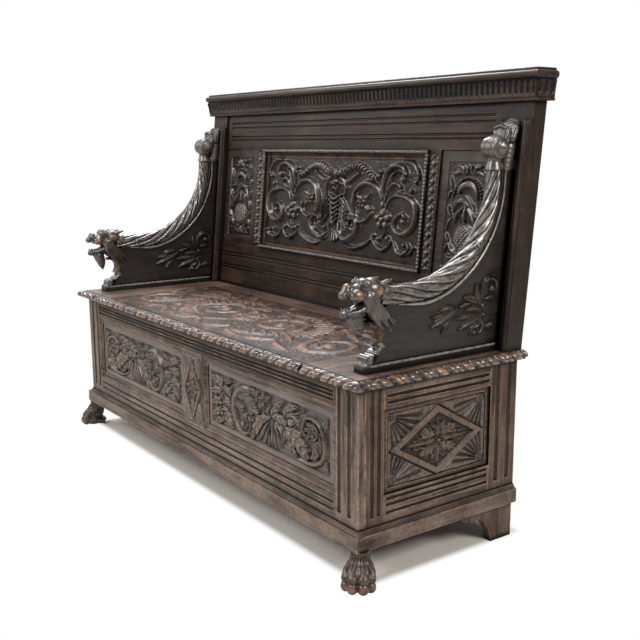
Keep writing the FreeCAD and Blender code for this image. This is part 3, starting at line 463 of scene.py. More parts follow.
class Wiring:
    """Adds the nodes of one material or world and links them."""

    def __init__(self, tree: bpy.types.NodeTree) -> None:
        """Starts on a node tree."""
        self.nodes, self.links = tree.nodes, tree.links

    def feed(self, node: Node, sockets: dict) -> None:
        """Feeds the sockets of a node.

        Args:
            node: The node.
            sockets: A link from another node or a constant for each socket.
        """
        for key, value in sockets.items():
            if isinstance(value, Socket):
                self.links.new(value, node.inputs[key])
            else:
                node.inputs[key].default_value = value

    def add(self, kind: str, sockets: dict, **settings: str | int) -> Node:
        """Adds a node.

        Args:
            kind: Its type, without the start that all type names share.
            sockets: A link from another node or a constant for each socket.
            settings: Its own settings.

        Returns:
            The new node.
        """
        node = self.nodes.new(f"ShaderNode{kind}")
        for name, value in settings.items():
            setattr(node, name, value)
        self.feed(node, sockets)
        return node

    def noise(self, scale: float, detail: float, source: Socket) -> Socket:
        """A noise value read at a coordinate."""
        sockets = {"Scale": scale, "Detail": detail, "Roughness": 0.62, "Vector": source}
        return self.add("TexNoise", sockets).outputs["Fac"]

    def ramp(self, source: Socket, low: float, high: float, top: float = 1.0) -> Socket:
        """Stretches a value between two levels smoothly to the range from 0 to a top."""
        sockets = {"Value": source, "From Min": low, "From Max": high, "To Max": top}
        return self.add("MapRange", sockets, interpolation_type="SMOOTHSTEP").outputs["Result"]

    def spread(self, source: Socket, low: float, high: float) -> Socket:
        """Stretches a value between 0 and 1 evenly to another range."""
        return self.add("MapRange", {"Value": source, "To Min": low, "To Max": high}).outputs["Result"]

    def join(self, operation: str, first: Socket, second: Socket) -> Socket:
        """Joins two values and keeps the result between 0 and 1."""
        return self.add("Math", {0: first, 1: second}, operation=operation, use_clamp=True).outputs[0]

    def vector(self, operation: str, first: Socket, second: Socket | Colour = (0.0, 0.0, 0.0)) -> Node:
        """Joins two vectors."""
        return self.add("VectorMath", {0: first, 1: second}, operation=operation)

    def mix(self, factor: Socket, first: Socket | Colour, second: Socket | Colour) -> Socket:
        """Mixes two colours.

        Args:
            factor: Share of the second colour.
            first: First colour.
            second: Second colour.

        Returns:
            The mixed colour.
        """
        node = self.add("Mix", {"Factor": factor}, data_type="RGBA")
        for key, colour in ((6, first), (7, second)):
            self.feed(node, {key: (*colour, 1.0) if isinstance(colour, tuple) else colour})
        return node.outputs[2]

    def attribute(self, name: str) -> Socket:
        """A value kept on the points of the mesh."""
        return self.add("Attribute", {}, attribute_name=name).outputs["Fac"]

    def bevel(self, radius_mm: float) -> Socket:
        """The normal of a surface whose edges are rounded."""
        return self.add("Bevel", {"Radius": radius_mm * MM}, samples=4).outputs["Normal"]


@dataclass(frozen=True)
class OakFinish:
    """Stained and waxed oak with worn edges, a painted sheen in blotches, and painted shade in recesses and
    on low carving.
    """

    name: str
    dark: Colour = (0.010, 0.0065, 0.005)
    tone: Colour = (0.046, 0.030, 0.022)
    worn: Colour = (0.26, 0.115, 0.055)
    # Painted sheen: a lighter, greyer colour laid in random blotches to stand for light reflected off the
    # wax.
    painted_sheen: Colour = (0.085, 0.062, 0.048)
    # Painted shade: the near-black colour that ambient occlusion lays into hollows, corners and creases.
    painted_recess_shade: Colour = (0.004, 0.003, 0.0026)
    wear: float = 0.5
    patches: float = 0.1
    roughness: float = 0.4
    grain: Grain = Grain.X
    carved: bool = False
    spots: bool = False
    gloss: float = 0.3
    coat: float = 0.1
    mottle: float = 0.3
    edge_mm: float = 2.2
    wear_mm: float = 4.0
    reach_mm: float = 14.0

    def material(self) -> bpy.types.Material:
        """Builds the node material.

        Returns:
            The new material.
        """
        made = bpy.data.materials.new(self.name)
        made.use_nodes = True
        wiring = Wiring(made.node_tree)
        mix, ramp, join, noise = wiring.mix, wiring.ramp, wiring.join, wiring.noise
        place = wiring.add("TexCoord", {}).outputs["Object"]
        stretched = wiring.add("Mapping", {"Scale": self.grain.value, "Vector": place}).outputs["Vector"]
        streaks = noise(5.5, 9.0, stretched)
        pores = noise(42.0, 4.0, stretched)
        blotch = noise(4.0, 5.0, place)
        grime = noise(26.0, 6.0, place)
        specks = noise(85.0, 5.0, place)
        # Painted shade: ambient occlusion finds hollows, corners, creases and the ground under and between
        # parts; its open places also bound the edge wear.
        ambient_occlusion = wiring.add("AmbientOcclusion", {"Distance": self.reach_mm * MM}, samples=6).outputs["AO"]
        open_unshaded = ramp(ambient_occlusion, 0.56 if self.carved else 0.8, 0.995)

        colour = mix(ramp(streaks, 0.34, 0.62), self.dark, self.tone)
        # Painted sheen: the blotch noise lays the lighter sheen colour in random patches; on plain boards it
        # also sets the worn patches.
        colour = mix(ramp(blotch, 0.42, 0.72, 0.6), colour, self.painted_sheen)
        if self.carved:
            # Painted shade: low carving, with a low relief value, is coloured towards the dark colour.
            colour = mix(ramp(wiring.attribute("relief"), 0.0, 0.6), self.dark, colour)
        worn = join("MULTIPLY", self.rubbed(wiring), open_unshaded)
        worn = join("MULTIPLY", worn, ramp(grime, 0.36, 0.62, self.wear))
        bare = ramp(grime if self.carved else blotch, 0.52, 0.72, self.patches)
        colour = mix(join("ADD", worn, bare), colour, self.worn)
        colour = mix(ramp(pores, 0.6, 0.72, 0.6), colour, self.dark)
        colour = mix(ramp(specks, 0.47, 0.62, self.mottle), colour, self.dark)

        grit = join("ADD", ramp(streaks, 0.2, 0.8, 0.6), ramp(grime, 0.2, 0.8, 0.4))
        bump = wiring.add("Bump", {"Strength": 0.3, "Distance": 0.6 * MM, "Height": grit})
        if not self.carved:
            wiring.feed(bump, {"Normal": wiring.bevel(self.edge_mm)})
        wiring.feed(wiring.nodes["Principled BSDF"], {
            # Painted shade: the base colour turns to the recess shade colour where ambient occlusion is low.
            "Base Color": wiring.mix(open_unshaded, self.painted_recess_shade, colour),
            "Roughness": wiring.spread(grime, self.roughness - 0.12, self.roughness + 0.16),
            "Normal": bump.outputs["Normal"],
            "Specular IOR Level": self.gloss,
            "Coat Weight": self.coat,
            "Coat Roughness": 0.2,
        })
        return made

    def rubbed(self, wiring: Wiring) -> Socket:
        """Where the wood is rubbed: on marked spots, on high carving or along a plain board's edges.

        Args:
            wiring: Wiring of the material.

        Returns:
            0 where it is untouched and 1 where it is rubbed most.
        """
        if self.spots:
            return wiring.ramp(wiring.attribute("rub"), 0.1, 0.8)
        if self.carved:
            return wiring.ramp(wiring.attribute("relief"), 0.6, 1.0)
        face = wiring.add("NewGeometry", {}).outputs["Normal"]
        turn = wiring.vector("DOT_PRODUCT", wiring.bevel(self.wear_mm), face)
        return wiring.ramp(turn.outputs["Value"], 0.998, 0.88)


@dataclass(frozen=True)
class IronFinish:
    """Dark wrought iron of the hinges."""

    name: str = "hinge_iron"
    dark: Colour = (0.02, 0.018, 0.016)
    bright: Colour = (0.11, 0.085, 0.07)

    def material(self) -> bpy.types.Material:
        """Builds the node material.

        Returns:
            The new material.
        """
        made = bpy.data.materials.new(self.name)
        made.use_nodes = True
        wiring = Wiring(made.node_tree)
        place = wiring.add("TexCoord", {}).outputs["Object"]
        spots = wiring.add("TexNoise", {"Scale": 180.0, "Detail": 6.0, "Vector": place}).outputs["Fac"]
        wiring.feed(wiring.nodes["Principled BSDF"], {
            "Metallic": 0.85,
            "Base Color": wiring.mix(spots, self.dark, self.bright),
            "Roughness": wiring.spread(spots, 0.35, 0.7),
        })
        return made


CHEST = OakFinish("oak_chest", dark=(0.013, 0.008, 0.006), tone=(0.15, 0.108, 0.085),
                  painted_sheen=(0.262, 0.204, 0.166), worn=(0.54, 0.36, 0.25), wear=1.0, gloss=0.25, coat=0.04)
# Painted shade: the front top rail takes a darker copy of the chest's oak, standing for the shadow under the
# seat's nosing.
CHEST_TOP_PAINTED_SHADE = OakFinish("oak_chest_top_painted_shade", CHEST.dark, (0.072, 0.045, 0.032), CHEST.worn, (0.12, 0.082, 0.062),
                      wear=0.8, gloss=0.2, coat=0.0)
CHEST_UP = OakFinish("oak_chest_upright", CHEST.dark, (0.18, 0.13, 0.101), CHEST.worn, CHEST.painted_sheen, wear=1.0,
                     grain=Grain.Z, gloss=0.25, coat=0.04, wear_mm=5.0)
ENDS = OakFinish("oak_end", dark=(0.013, 0.008, 0.0055), tone=(0.128, 0.089, 0.07), worn=CHEST.worn,
                 painted_sheen=(0.215, 0.163, 0.133), wear=1.0, grain=Grain.Y, gloss=0.25, coat=0.04)
ENDS_UP = OakFinish("oak_end_upright", ENDS.dark, (0.105, 0.069, 0.053), (0.46, 0.23, 0.115),
                    (0.18, 0.133, 0.106), wear=1.0, grain=Grain.Z, gloss=0.25, coat=0.0, wear_mm=5.0)
BACK = OakFinish("oak_back", tone=(0.033, 0.021, 0.015), painted_sheen=(0.055, 0.038, 0.029), wear=0.7)
BACK_UP = OakFinish("oak_back_upright", tone=(0.025, 0.016, 0.0115), painted_sheen=(0.042, 0.03, 0.023), wear=0.7,
                    grain=Grain.Z)
ARM = OakFinish("oak_arm", dark=(0.010, 0.008, 0.007), tone=(0.027, 0.022, 0.019), painted_sheen=(0.042, 0.035, 0.03),
                wear=0.35, patches=0.03, grain=Grain.Y, roughness=0.36, gloss=0.4)
SEAT = OakFinish("oak_seat", dark=(0.026, 0.014, 0.010), tone=(0.13, 0.072, 0.048), painted_sheen=(0.24, 0.17, 0.13),
                 wear=0.9, patches=0.5, gloss=0.6, mottle=0.5)
# Painted reflection: the seat's end boards take a lighter copy of the seat's oak, standing for the sheen
# reflected off their tops.
SEAT_SIDE_PAINTED_REFLECTION = OakFinish("oak_seat_side_painted_reflection", SEAT.dark, (0.18, 0.112, 0.08), painted_sheen=(0.32, 0.24, 0.19), wear=0.9,
                      patches=0.4, grain=Grain.Y, gloss=0.7, mottle=0.5)
PLAIN = OakFinish("oak_plain", tone=(0.09, 0.058, 0.04), wear=0.2, roughness=0.6, gloss=0.2, coat=0.0)
CARVED_CHEST = OakFinish("oak_chest_carved", dark=(0.04, 0.028, 0.022), tone=(0.14, 0.106, 0.084),
                         painted_sheen=(0.27, 0.215, 0.178), wear=0.35, roughness=0.32, carved=True, gloss=0.6,
                         reach_mm=12)
CARVED_END = OakFinish("oak_end_carved", dark=(0.014, 0.009, 0.0065), tone=(0.11, 0.073, 0.054),
                       painted_sheen=(0.17, 0.125, 0.099), wear=0.3, roughness=0.34, carved=True, reach_mm=9,
                       gloss=0.45, coat=0.25)
CARVED_BACK = OakFinish("oak_back_carved", dark=(0.013, 0.0085, 0.0065), tone=(0.07, 0.052, 0.042),
                        painted_sheen=(0.14, 0.11, 0.092), wear=0.3, roughness=0.28, carved=True, gloss=0.6, coat=0.6)
FRIEZE = OakFinish("oak_frieze", dark=(0.003, 0.002, 0.0016), tone=(0.042, 0.029, 0.022),
                   painted_sheen=(0.05, 0.036, 0.028), wear=0.1, roughness=0.45, carved=True, coat=0.0, reach_mm=12)
# Painted highlight, in part: the carved neck and toe take a silvery tone several times lighter than the arm
# board's oak, standing for highlights on the strands.
CARVED_ARM = OakFinish("oak_arm_carved", dark=(0.007, 0.0055, 0.0048), tone=(0.12, 0.104, 0.096),
                       painted_sheen=(0.22, 0.197, 0.185), wear=0.1, patches=0.04, roughness=0.25, carved=True,
                       gloss=0.9, coat=0.9)
# Painted highlight: the beads are the arm board's oak, coloured pale silver to stand for the highlight that
# runs along them.
PAINTED_HIGHLIGHT_BEAD = OakFinish("oak_bead_painted_highlight", dark=(0.06, 0.052, 0.047), tone=(0.24, 0.22, 0.205), painted_sheen=(0.38, 0.35, 0.33),
                 wear=0.0, patches=0.0, roughness=0.26, gloss=0.9, coat=0.8, mottle=0.0)
CARVED_SEAT = OakFinish("oak_seat_carved", dark=(0.010, 0.006, 0.0045), tone=(0.075, 0.056, 0.045),
                        painted_sheen=(0.14, 0.115, 0.1), worn=(0.4, 0.2, 0.105), wear=0.5, patches=0.3,
                        roughness=0.28, carved=True, gloss=0.7, coat=0.6, reach_mm=9)
CARVED_LID = OakFinish("oak_lid_carved", dark=(0.028, 0.013, 0.008), tone=(0.125, 0.06, 0.035),
                       painted_sheen=(0.18, 0.118, 0.09), worn=(0.34, 0.16, 0.08), wear=0.5, patches=0.8,
                       roughness=0.42, carved=True, gloss=0.5, coat=0.0, mottle=0.8, reach_mm=8)
SPRIG = OakFinish("oak_sprig", dark=(0.008, 0.006, 0.005), tone=(0.036, 0.028, 0.023),
                  painted_sheen=(0.055, 0.04, 0.031), worn=(0.12, 0.066, 0.04), wear=0.6, patches=0.3, roughness=0.36,
                  carved=True, gloss=0.4, coat=0.2, reach_mm=9)
PAW = OakFinish("oak_paw", dark=(0.014, 0.009, 0.007), tone=(0.125, 0.09, 0.07), painted_sheen=(0.19, 0.145, 0.115),
                worn=(0.26, 0.125, 0.065), wear=0.9, patches=0.0, roughness=0.36, carved=True, spots=True,
                coat=0.25, reach_mm=9)
# Painted highlight, in part: the head and roll take a tone and sheen lighter than the arm board's oak,
# standing for highlights on their rounded forms; the rub spots are real wear.
LION = OakFinish("oak_lion", dark=(0.009, 0.007, 0.006), tone=(0.085, 0.068, 0.059),
                 painted_sheen=(0.14, 0.117, 0.104), worn=(0.4, 0.165, 0.07), wear=1.0, patches=0.0, roughness=0.36,
                 carved=True, spots=True, gloss=0.9, coat=0.35, reach_mm=9)
THROAT = OakFinish("oak_throat", dark=(0.03, 0.015, 0.010), tone=(0.1, 0.055, 0.034),
                   painted_sheen=(0.16, 0.11, 0.08), worn=(0.28, 0.13, 0.06), wear=0.3, patches=0.2, roughness=0.35,
                   carved=True)
IRON = IronFinish()


def as_mesh(name: str, bm: BMesh) -> bpy.types.Mesh:
    """Keeps a mesh under a name.

    Args:
        name: The name.
        bm: The mesh; freed here.

    Returns:
        The kept mesh.
    """
    mesh = bpy.data.meshes.new(name)
    bm.to_mesh(mesh)
    bm.free()
    return mesh


def put(name: str, data: bpy.types.ID) -> bpy.types.Object:
    """Puts a mesh, a lamp or a camera into the scene.

    Args:
        name: Name of the new object.
        data: What it holds.

    Returns:
        The new object.
    """
    made = bpy.data.objects.new(name, data)
    bpy.context.scene.collection.objects.link(made)
    return made


class Workshop:
    """Makes finished pieces out of meshes and keeps the materials."""

    def __init__(self) -> None:
        """Starts with no materials made."""
        self.made: dict[str, bpy.types.Material] = {}

    def material(self, finish: OakFinish | IronFinish) -> bpy.types.Material:
        """Makes the material of a finish, or finds the one made before.

        Args:
            finish: The finish.

        Returns:
            Its material.
        """
        if finish.name not in self.made:
            self.made[finish.name] = finish.material()
        return self.made[finish.name]

    def piece(self, name: str, bm: BMesh, finish: OakFinish, body: str = "carcass",
              replaces: Sequence[str] = (), smooth: bool = True) -> None:
        """Turns a mesh into a piece of the settle.

        Args:
            name: Name of the piece.
            bm: Its mesh, in metres in the settle's frame; freed here.
            finish: Its finish.
            body: Body that it moves with.
            replaces: CAD nodes that it stands for.
            smooth: True for smooth shading.
        """
        bmesh.ops.recalc_face_normals(bm, faces=bm.faces)
        for edge in bm.edges:
            edge.smooth = edge.calc_face_angle(0.0) < 1.3
        mesh = as_mesh(name, bm)
        mesh.polygons.foreach_set("use_smooth", [smooth] * len(mesh.polygons))
        mesh.materials.append(self.material(finish))
        made = put(name, mesh)
        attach(made, body)
        if replaces:
            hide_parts(*replaces)
        LOG.info("%s: %d faces, %s mm", name, len(mesh.polygons), [round(v / MM) for v in made.dimensions])

    def pair(self, name: str, bm: BMesh, finish: OakFinish,
             replaces: Sequence[str] = ()) -> None:
        """Makes a right-hand piece and its mirror image.

        Args:
            name: Name of the piece without its side.
            bm: Mesh of the right-hand piece; freed here.
            finish: Its finish.
            replaces: CAD nodes that it stands for, without their side.
        """
        twin = bm.copy()
        bmesh.ops.scale(twin, vec=(-1.0, 1.0, 1.0), verts=twin.verts)
        bmesh.ops.reverse_faces(twin, faces=twin.faces)
        for side, mesh in (("right", bm), ("left", twin)):
            nodes = [f"{node}_{side}" for node in replaces]
            self.piece(f"{name}_{side}", mesh, finish, "carcass", nodes)


SHOP = Workshop()


def sheet(places: Array, shares: Array) -> BMesh:
    """A sheet of quads with given places.

    Args:
        places: World place of each point, by row and column.
        shares: Relief value of each point; carved finishes paint low values darker as shade.

    Returns:
        The new mesh.
    """
    rows, columns = shares.shape
    bm = bmesh.new()
    layer = bm.verts.layers.float.new("relief")
    bmesh.ops.create_grid(bm, x_segments=columns - 1, y_segments=rows - 1, size=0.5)
    for vert, place, share in zip(bm.verts, places.reshape(-1, 3).tolist(), shares.reshape(-1).tolist()):
        vert.co = place
        vert[layer] = share
    return bm


def rim_of(bm: BMesh) -> list[bmesh.types.BMEdge]:
    """Edges round the openings of a mesh."""
    return [edge for edge in bm.edges if edge.is_boundary]


def close_back(bm: BMesh, shift: Vector) -> None:
    """Gives an open sheet sides and a back.

    Args:
        bm: The sheet.
        shift: Way from the sheet's rim to its back.
    """
    rim = rim_of(bm)
    sides = bmesh.ops.extrude_edge_only(bm, edges=rim)["geom"]
    bmesh.ops.translate(bm, verts=[item for item in sides if isinstance(item, bmesh.types.BMVert)], vec=shift)
    bmesh.ops.contextual_create(bm, geom=rim_of(bm))


def carve(relief: Relief, plane: Plane, top: float, back: float = 0.8) -> BMesh:
    """Makes a relief into a mesh lying on a plane.

    Args:
        relief: The carved field.
        plane: Where it lies.
        top: Height whose relief value is 1: the highest carving is worn most, and lower carving is painted
            darker as shade.
        back: Depth of the sheet's back below the plane.

    Returns:
        The closed mesh.
    """
    ways = [np.array(way) * MM for way in (plane.along, plane.up, plane.out)]
    places = (np.array(plane.middle) + relief.u[..., None] * ways[0] + relief.v[..., None] * ways[1]
              + relief.h[..., None] * ways[2])
    bm = sheet(places, unit(relief.h / top))
    close_back(bm, plane.out * (-back * MM))
    return bm


def cut_out(relief: Relief, plane: Plane, top: float) -> BMesh:
    """A relief without its ground: only the carved forms stand on the board.

    Args:
        relief: The carved field.
        plane: Where it lies.
        top: Height whose relief value is 1: the highest carving is worn most, and lower carving is painted
            darker as shade.

    Returns:
        The mesh of the forms.
    """
    relief.h = relief.h - 0.5
    bm = carve(relief, plane, top, back=1.0)
    sunk = [face for face in bm.faces
            if all((vert.co - plane.middle).dot(plane.out) < -0.3 * MM for vert in face.verts)]
    bmesh.ops.delete(bm, geom=sunk, context="FACES")
    return bm


def block(low: Vector, high: Vector) -> BMesh:
    """A plain block.

    Args:
        low: Its low corner.
        high: Its high corner.

    Returns:
        The closed mesh.
    """
    bm = bmesh.new()
    place = Matrix.Translation((low + high) / 2) @ Matrix.Diagonal((*(high - low), 1.0))
    bmesh.ops.create_cube(bm, size=1.0, matrix=place)
    return bm


def add_to(bm: BMesh, other: BMesh) -> None:
    """Adds a mesh to another.

    Args:
        bm: The mesh that grows.
        other: The mesh that is added; freed here.
    """
    mesh = as_mesh("join", other)
    bm.from_mesh(mesh)
    bpy.data.meshes.remove(mesh)


class Clay:
    """A carved lump built from rounded masses that are melted together."""

    SMOOTHING: int = 2
    FULLY_OUT: float = 0.3

    def __init__(self, origin: Vector) -> None:
        """Starts an empty lump whose masses are placed in millimetres from an origin."""
        self.origin = origin
        self.bm = bmesh.new()

    def mass(self, centre: Sequence[float], radii: Sequence[float]) -> None:
        """Adds a rounded mass.

        Args:
            centre: Its middle.
            radii: Its half sizes.
        """
        size = Matrix.Diagonal((*[radius * MM for radius in radii], 1.0))
        place = Matrix.Translation(self.origin + Vector(centre) * MM) @ size
        bmesh.ops.create_icosphere(self.bm, subdivisions=3 if max(radii) > 9 else 2, radius=1.0, matrix=place)

    def limb(self, points: Iterable[Sequence[float]], radii: Sequence[float]) -> None:
        """Adds a row of balls that melt into a limb or a strand.

        Args:
            points: Corners of the limb's middle line.
            radii: Radii at even stations along it.
        """
        line = np.asarray(list(points), float)
        along = np.concatenate(([0.0], np.cumsum(np.linalg.norm(np.diff(line, axis=0), axis=1))))
        count = max(int(along[-1] / (0.45 * max(radii))), 4)
        for place in np.linspace(0.0, along[-1], count):
            centre = [float(np.interp(place, along, line[:, axis])) for axis in range(3)]
            radius = float(np.interp(place / along[-1], np.linspace(0, 1, len(radii)), radii))
            self.mass(centre, (radius,) * 3)

    def melt(self, voxel: float, push: Callable[[Vector], float]) -> BMesh:
        """Melts the masses into one skin.

        Args:
            voxel: Size of the skin's cells in millimetres.
            push: How far each point of the skin is then pushed along its normal, in millimetres.

        Returns:
            The skin, whose relief value is low in hollows and high on bulges; carved finishes paint the low
            values darker as shade.
        """
        mesh = as_mesh("clay", self.bm)
        lump = put("clay", mesh)
        remesh = lump.modifiers.new("skin", "REMESH")
        remesh.mode = "VOXEL"
        remesh.voxel_size = voxel * MM
        evaluated = lump.evaluated_get(bpy.context.evaluated_depsgraph_get())
        skin = bmesh.new()
        skin.from_mesh(evaluated.to_mesh())
        bpy.data.objects.remove(lump)
        bpy.data.meshes.remove(mesh)
        for _ in range(self.SMOOTHING):
            bmesh.ops.smooth_vert(skin, verts=skin.verts, factor=0.5, use_axis_x=True, use_axis_y=True,
                                  use_axis_z=True)
        skin.normal_update()
        for vert in skin.verts:
            vert.co += vert.normal * push((vert.co - self.origin) / MM) * MM
        self.shade(skin)
        return skin

    def shade(self, skin: BMesh) -> None:
        """Sets each point's relief value by how far it stands out of its neighbours, so that hollows are
        painted darker as shade.

        Args:
            skin: The skin.
        """
        skin.normal_update()
        skin.verts.index_update()
        rings = [[edge.other_vert(vert).index for edge in vert.link_edges] for vert in skin.verts]
        places = [vert.co.copy() for vert in skin.verts]
        out = []
        for vert, around in zip(skin.verts, rings):
            middle = sum((places[i] for i in around), Vector()) / len(around)
            out.append((vert.co - middle).dot(vert.normal) / (self.FULLY_OUT * MM))
        for _ in range(3):
            out = [(value + sum(out[i] for i in around) / len(around)) / 2
                   for value, around in zip(out, rings)]
        skin.verts.layers.float.new("rub")
        layer = skin.verts.layers.float.new("relief")
        for vert, value in zip(skin.verts, out):
            vert[layer] = min(max(0.42 + value, 0.03), 1.0)


def rub(bm: BMesh, middle: Vector, reach: float, amount: float) -> None:
    """Wears a mesh round a spot.

    Args:
        bm: The mesh.
        middle: World place of the spot.
        reach: Radius of the spot in millimetres.
        amount: How much is added to the wear at its middle.
    """
    layer = bm.verts.layers.float["rub"]
    for vert in bm.verts:
        near = 1.0 - (vert.co - middle).length / (reach * MM)
        if near > 0.0:
            vert[layer] = min(vert[layer] + amount * min(near * 1.6, 1.0), 1.0)


@dataclass
class ChestFront:
    """Carving of the two front panels and of the muntin between them."""

    panel: Point = (598.0, 205.0)
    border: float = 34.0
    sunk: float = 4.0
    thick: float = 12.0
    pitch: float = 1.5
    crest: float = 11.0

    def design(self) -> Relief:
        """Scrolling foliage of the right-hand panel.

        Returns:
            The carved field.
        """
        relief = Relief(*self.panel, self.pitch)
        top = self.crest
        self.branch(relief)
        relief.scroll([(60, 22), (92, 30), (130, 44), (164, 60)], (8, 12, 6), 8.0)
        for vein, width in (
            (((236, -30), (250, -46), (260, -62)), 22), (((238, 30), (250, 46), (260, 62)), 22),
            (((84, 32), (106, 52), (140, 63)), 24), (((98, 34), (120, 32), (150, 24)), 22),
            (((198, -52), (210, -34), (216, -12)), 30), (((230, -24), (232, -2), (230, 22)), 18),
        ):
            relief.leaf(vein, width, 9.0, 3)
        relief.scroll([(84, -40), (120, -57), (164, -62), (210, -56), (240, -36), (248, -5), (238, 32),
                       (214, 48), (184, 48), (166, 35), (163, 17), (174, 3), (194, -2), (214, 6), (221, 21),
                       (209, 35), (192, 33)], (9, 15, 18, 18, 17, 14, 12, 11, 10, 8), top)
        relief.flower((193, 18), 22, 10.0, 6)
        relief.leaf([(100, 0), (140, -16), (184, -46)], 54, top + 2, 4)
        relief.leaf([(92, -14), (112, -34), (142, -54)], 24, top, 3)
        relief.boss((114, 19), 15, 11, 11.0, 20)
        self.volute(relief)
        self.acanthus(relief)
        relief.finish(0.3, 0.14, 2.5, 3, self.border, self.sunk)
        return relief

    def branch(self, relief: Relief) -> None:
        """Carves the leafy branch at the panel's inner end.

        Args:
            relief: Field of the panel.
        """
        relief.scroll([(-150, 60), (-186, 52), (-208, 26), (-206, -6), (-186, -44), (-160, -58)],
                      (9, 12, 9), 8.0)
        for vein, width in (
            (((-200, 36), (-224, 52), (-258, 56)), 30), (((-206, 18), (-232, 24), (-262, 16)), 28),
            (((-206, -6), (-232, -4), (-260, -18)), 28), (((-196, 40), (-178, 36), (-156, 24)), 26),
            (((-190, 50), (-172, 58), (-154, 62)), 18), (((-206, 2), (-184, 6), (-160, -4)), 26),
            (((-200, -28), (-224, -32), (-256, -48)), 30), (((-196, -40), (-216, -54), (-240, -64)), 24),
            (((-202, -20), (-182, -36), (-158, -54)), 36),
        ):
            relief.leaf(vein, width, 10.5, 3)
        relief.boss((-204, -34), 17, 15, 11.0, petals=5, button=0.36)
        relief.boss((-205, 12), 12, 12, 10.0, petals=5, button=0.4)

    def acanthus(self, relief: Relief) -> None:
        """Carves the fan of acanthus blades under a rosette in the panel's middle.

        Args:
            relief: Field of the panel.
        """
        top = self.crest
        for vein, width in ((((30, 16), (48, 36), (76, 60)), 26), (((36, 12), (62, 18), (98, 12)), 26),
                            (((38, 4), (66, -6), (96, -26)), 26), (((-30, 46), (-46, 58), (-70, 63)), 18)):
            relief.leaf(vein, width, 10.0, 3)
        relief.flower((0, 37), 28, top, 7)
        relief.leaf([(14, 6), (-24, -14), (-62, -63)], 40, top, 4)
        relief.blades((34, 8), (((2, -20), (-28, -62)), ((72, -10), (84, -40)), ((16, -26), (-2, -64)),
                                ((56, -16), (66, -56)), ((27, -28), (19, -64)), ((45, -24), (50, -64)),
                                ((36, -28), (35, -62))), 16, top)

    def volute(self, relief: Relief) -> None:
        """Carves the large C-scroll beside the acanthus.

        Args:
            relief: Field of the panel.
        """
        top = self.crest
        for vein, width in (
            (((-126, 34), (-92, 42), (-46, 32)), 32), (((-136, 10), (-118, 6), (-100, -8)), 24),
            (((-66, -4), (-56, 14), (-28, 10)), 28), (((-60, -14), (-50, -34), (-56, -58)), 20),
        ):
            relief.leaf(vein, width, 10.0, 4)
        relief.scroll([(-22, 44), (-62, 54), (-96, 56), (-124, 46), (-144, 25), (-150, -1), (-140, -31),
                       (-120, -54), (-94, -61), (-72, -52), (-62, -33), (-72, -16), (-88, -12)],
                      (10, 18, 22, 21, 18, 15, 12, 9), top)
        relief.boss((-98, -35), 17, 16, top, button=0.5)

    def muntin(self) -> Relief:
        """Lozenge with a rosette on the muntin.

        Returns:
            The carved field.
        """
        relief = Relief(104.0, 196.0, 1.5)
        for x, y, start in ((46, 92, 180), (-46, 92, 270), (46, -92, 90), (-46, -92, 0)):
            relief.fan((x, y), 8, 60, start, start + 90, 5, 5.5)
        inside = np.abs(relief.u) / 42 + np.abs(relief.v) / 84 < 1.0
        relief.h = np.where(inside, 0.0, relief.h)
        corners = [(0, 84), (42, 0), (0, -84), (-42, 0), (0, 84)]
        for start, end in zip(corners, corners[1:]):
            relief.stroke([start, end], (8, 8), (7, 7), Section.FLAT, gap=1.8)
        relief.leaf([(0, 12), (0, 40), (0, 70)], 24, 7.0, 4)
        relief.leaf([(0, -12), (0, -40), (0, -70)], 24, 7.0, 4)
        relief.flower((0, 0), 29, 9.0, 8, 22.5)
        relief.finish(0.25, 0.1, 1.5, 5)
        return relief

    def build(self) -> None:
        """Sets the carving on the panels and the muntin."""
        relief = self.design()
        for side, field in (("right", relief), ("left", relief.flipped())):
            low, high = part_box(f"front_panel_{side}")
            ground = Vector(((low.x + high.x) / 2, high.y - (self.thick - self.sunk) * MM,
                             (low.z + high.z) / 2))
            panel = carve(field, Plane(ground, RIGHT, UP), self.crest, self.thick)
            SHOP.piece(f"front_carving_{side}", panel, CARVED_CHEST, "carcass",
                       (f"front_panel_{side}",))
        low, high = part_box("front_muntin")
        plane = Plane(Vector((0, low.y - 0.3 * MM, (low.z + high.z) / 2)), RIGHT, UP)
        SHOP.piece("muntin_carving", carve(self.muntin(), plane, 6.0), CARVED_CHEST)


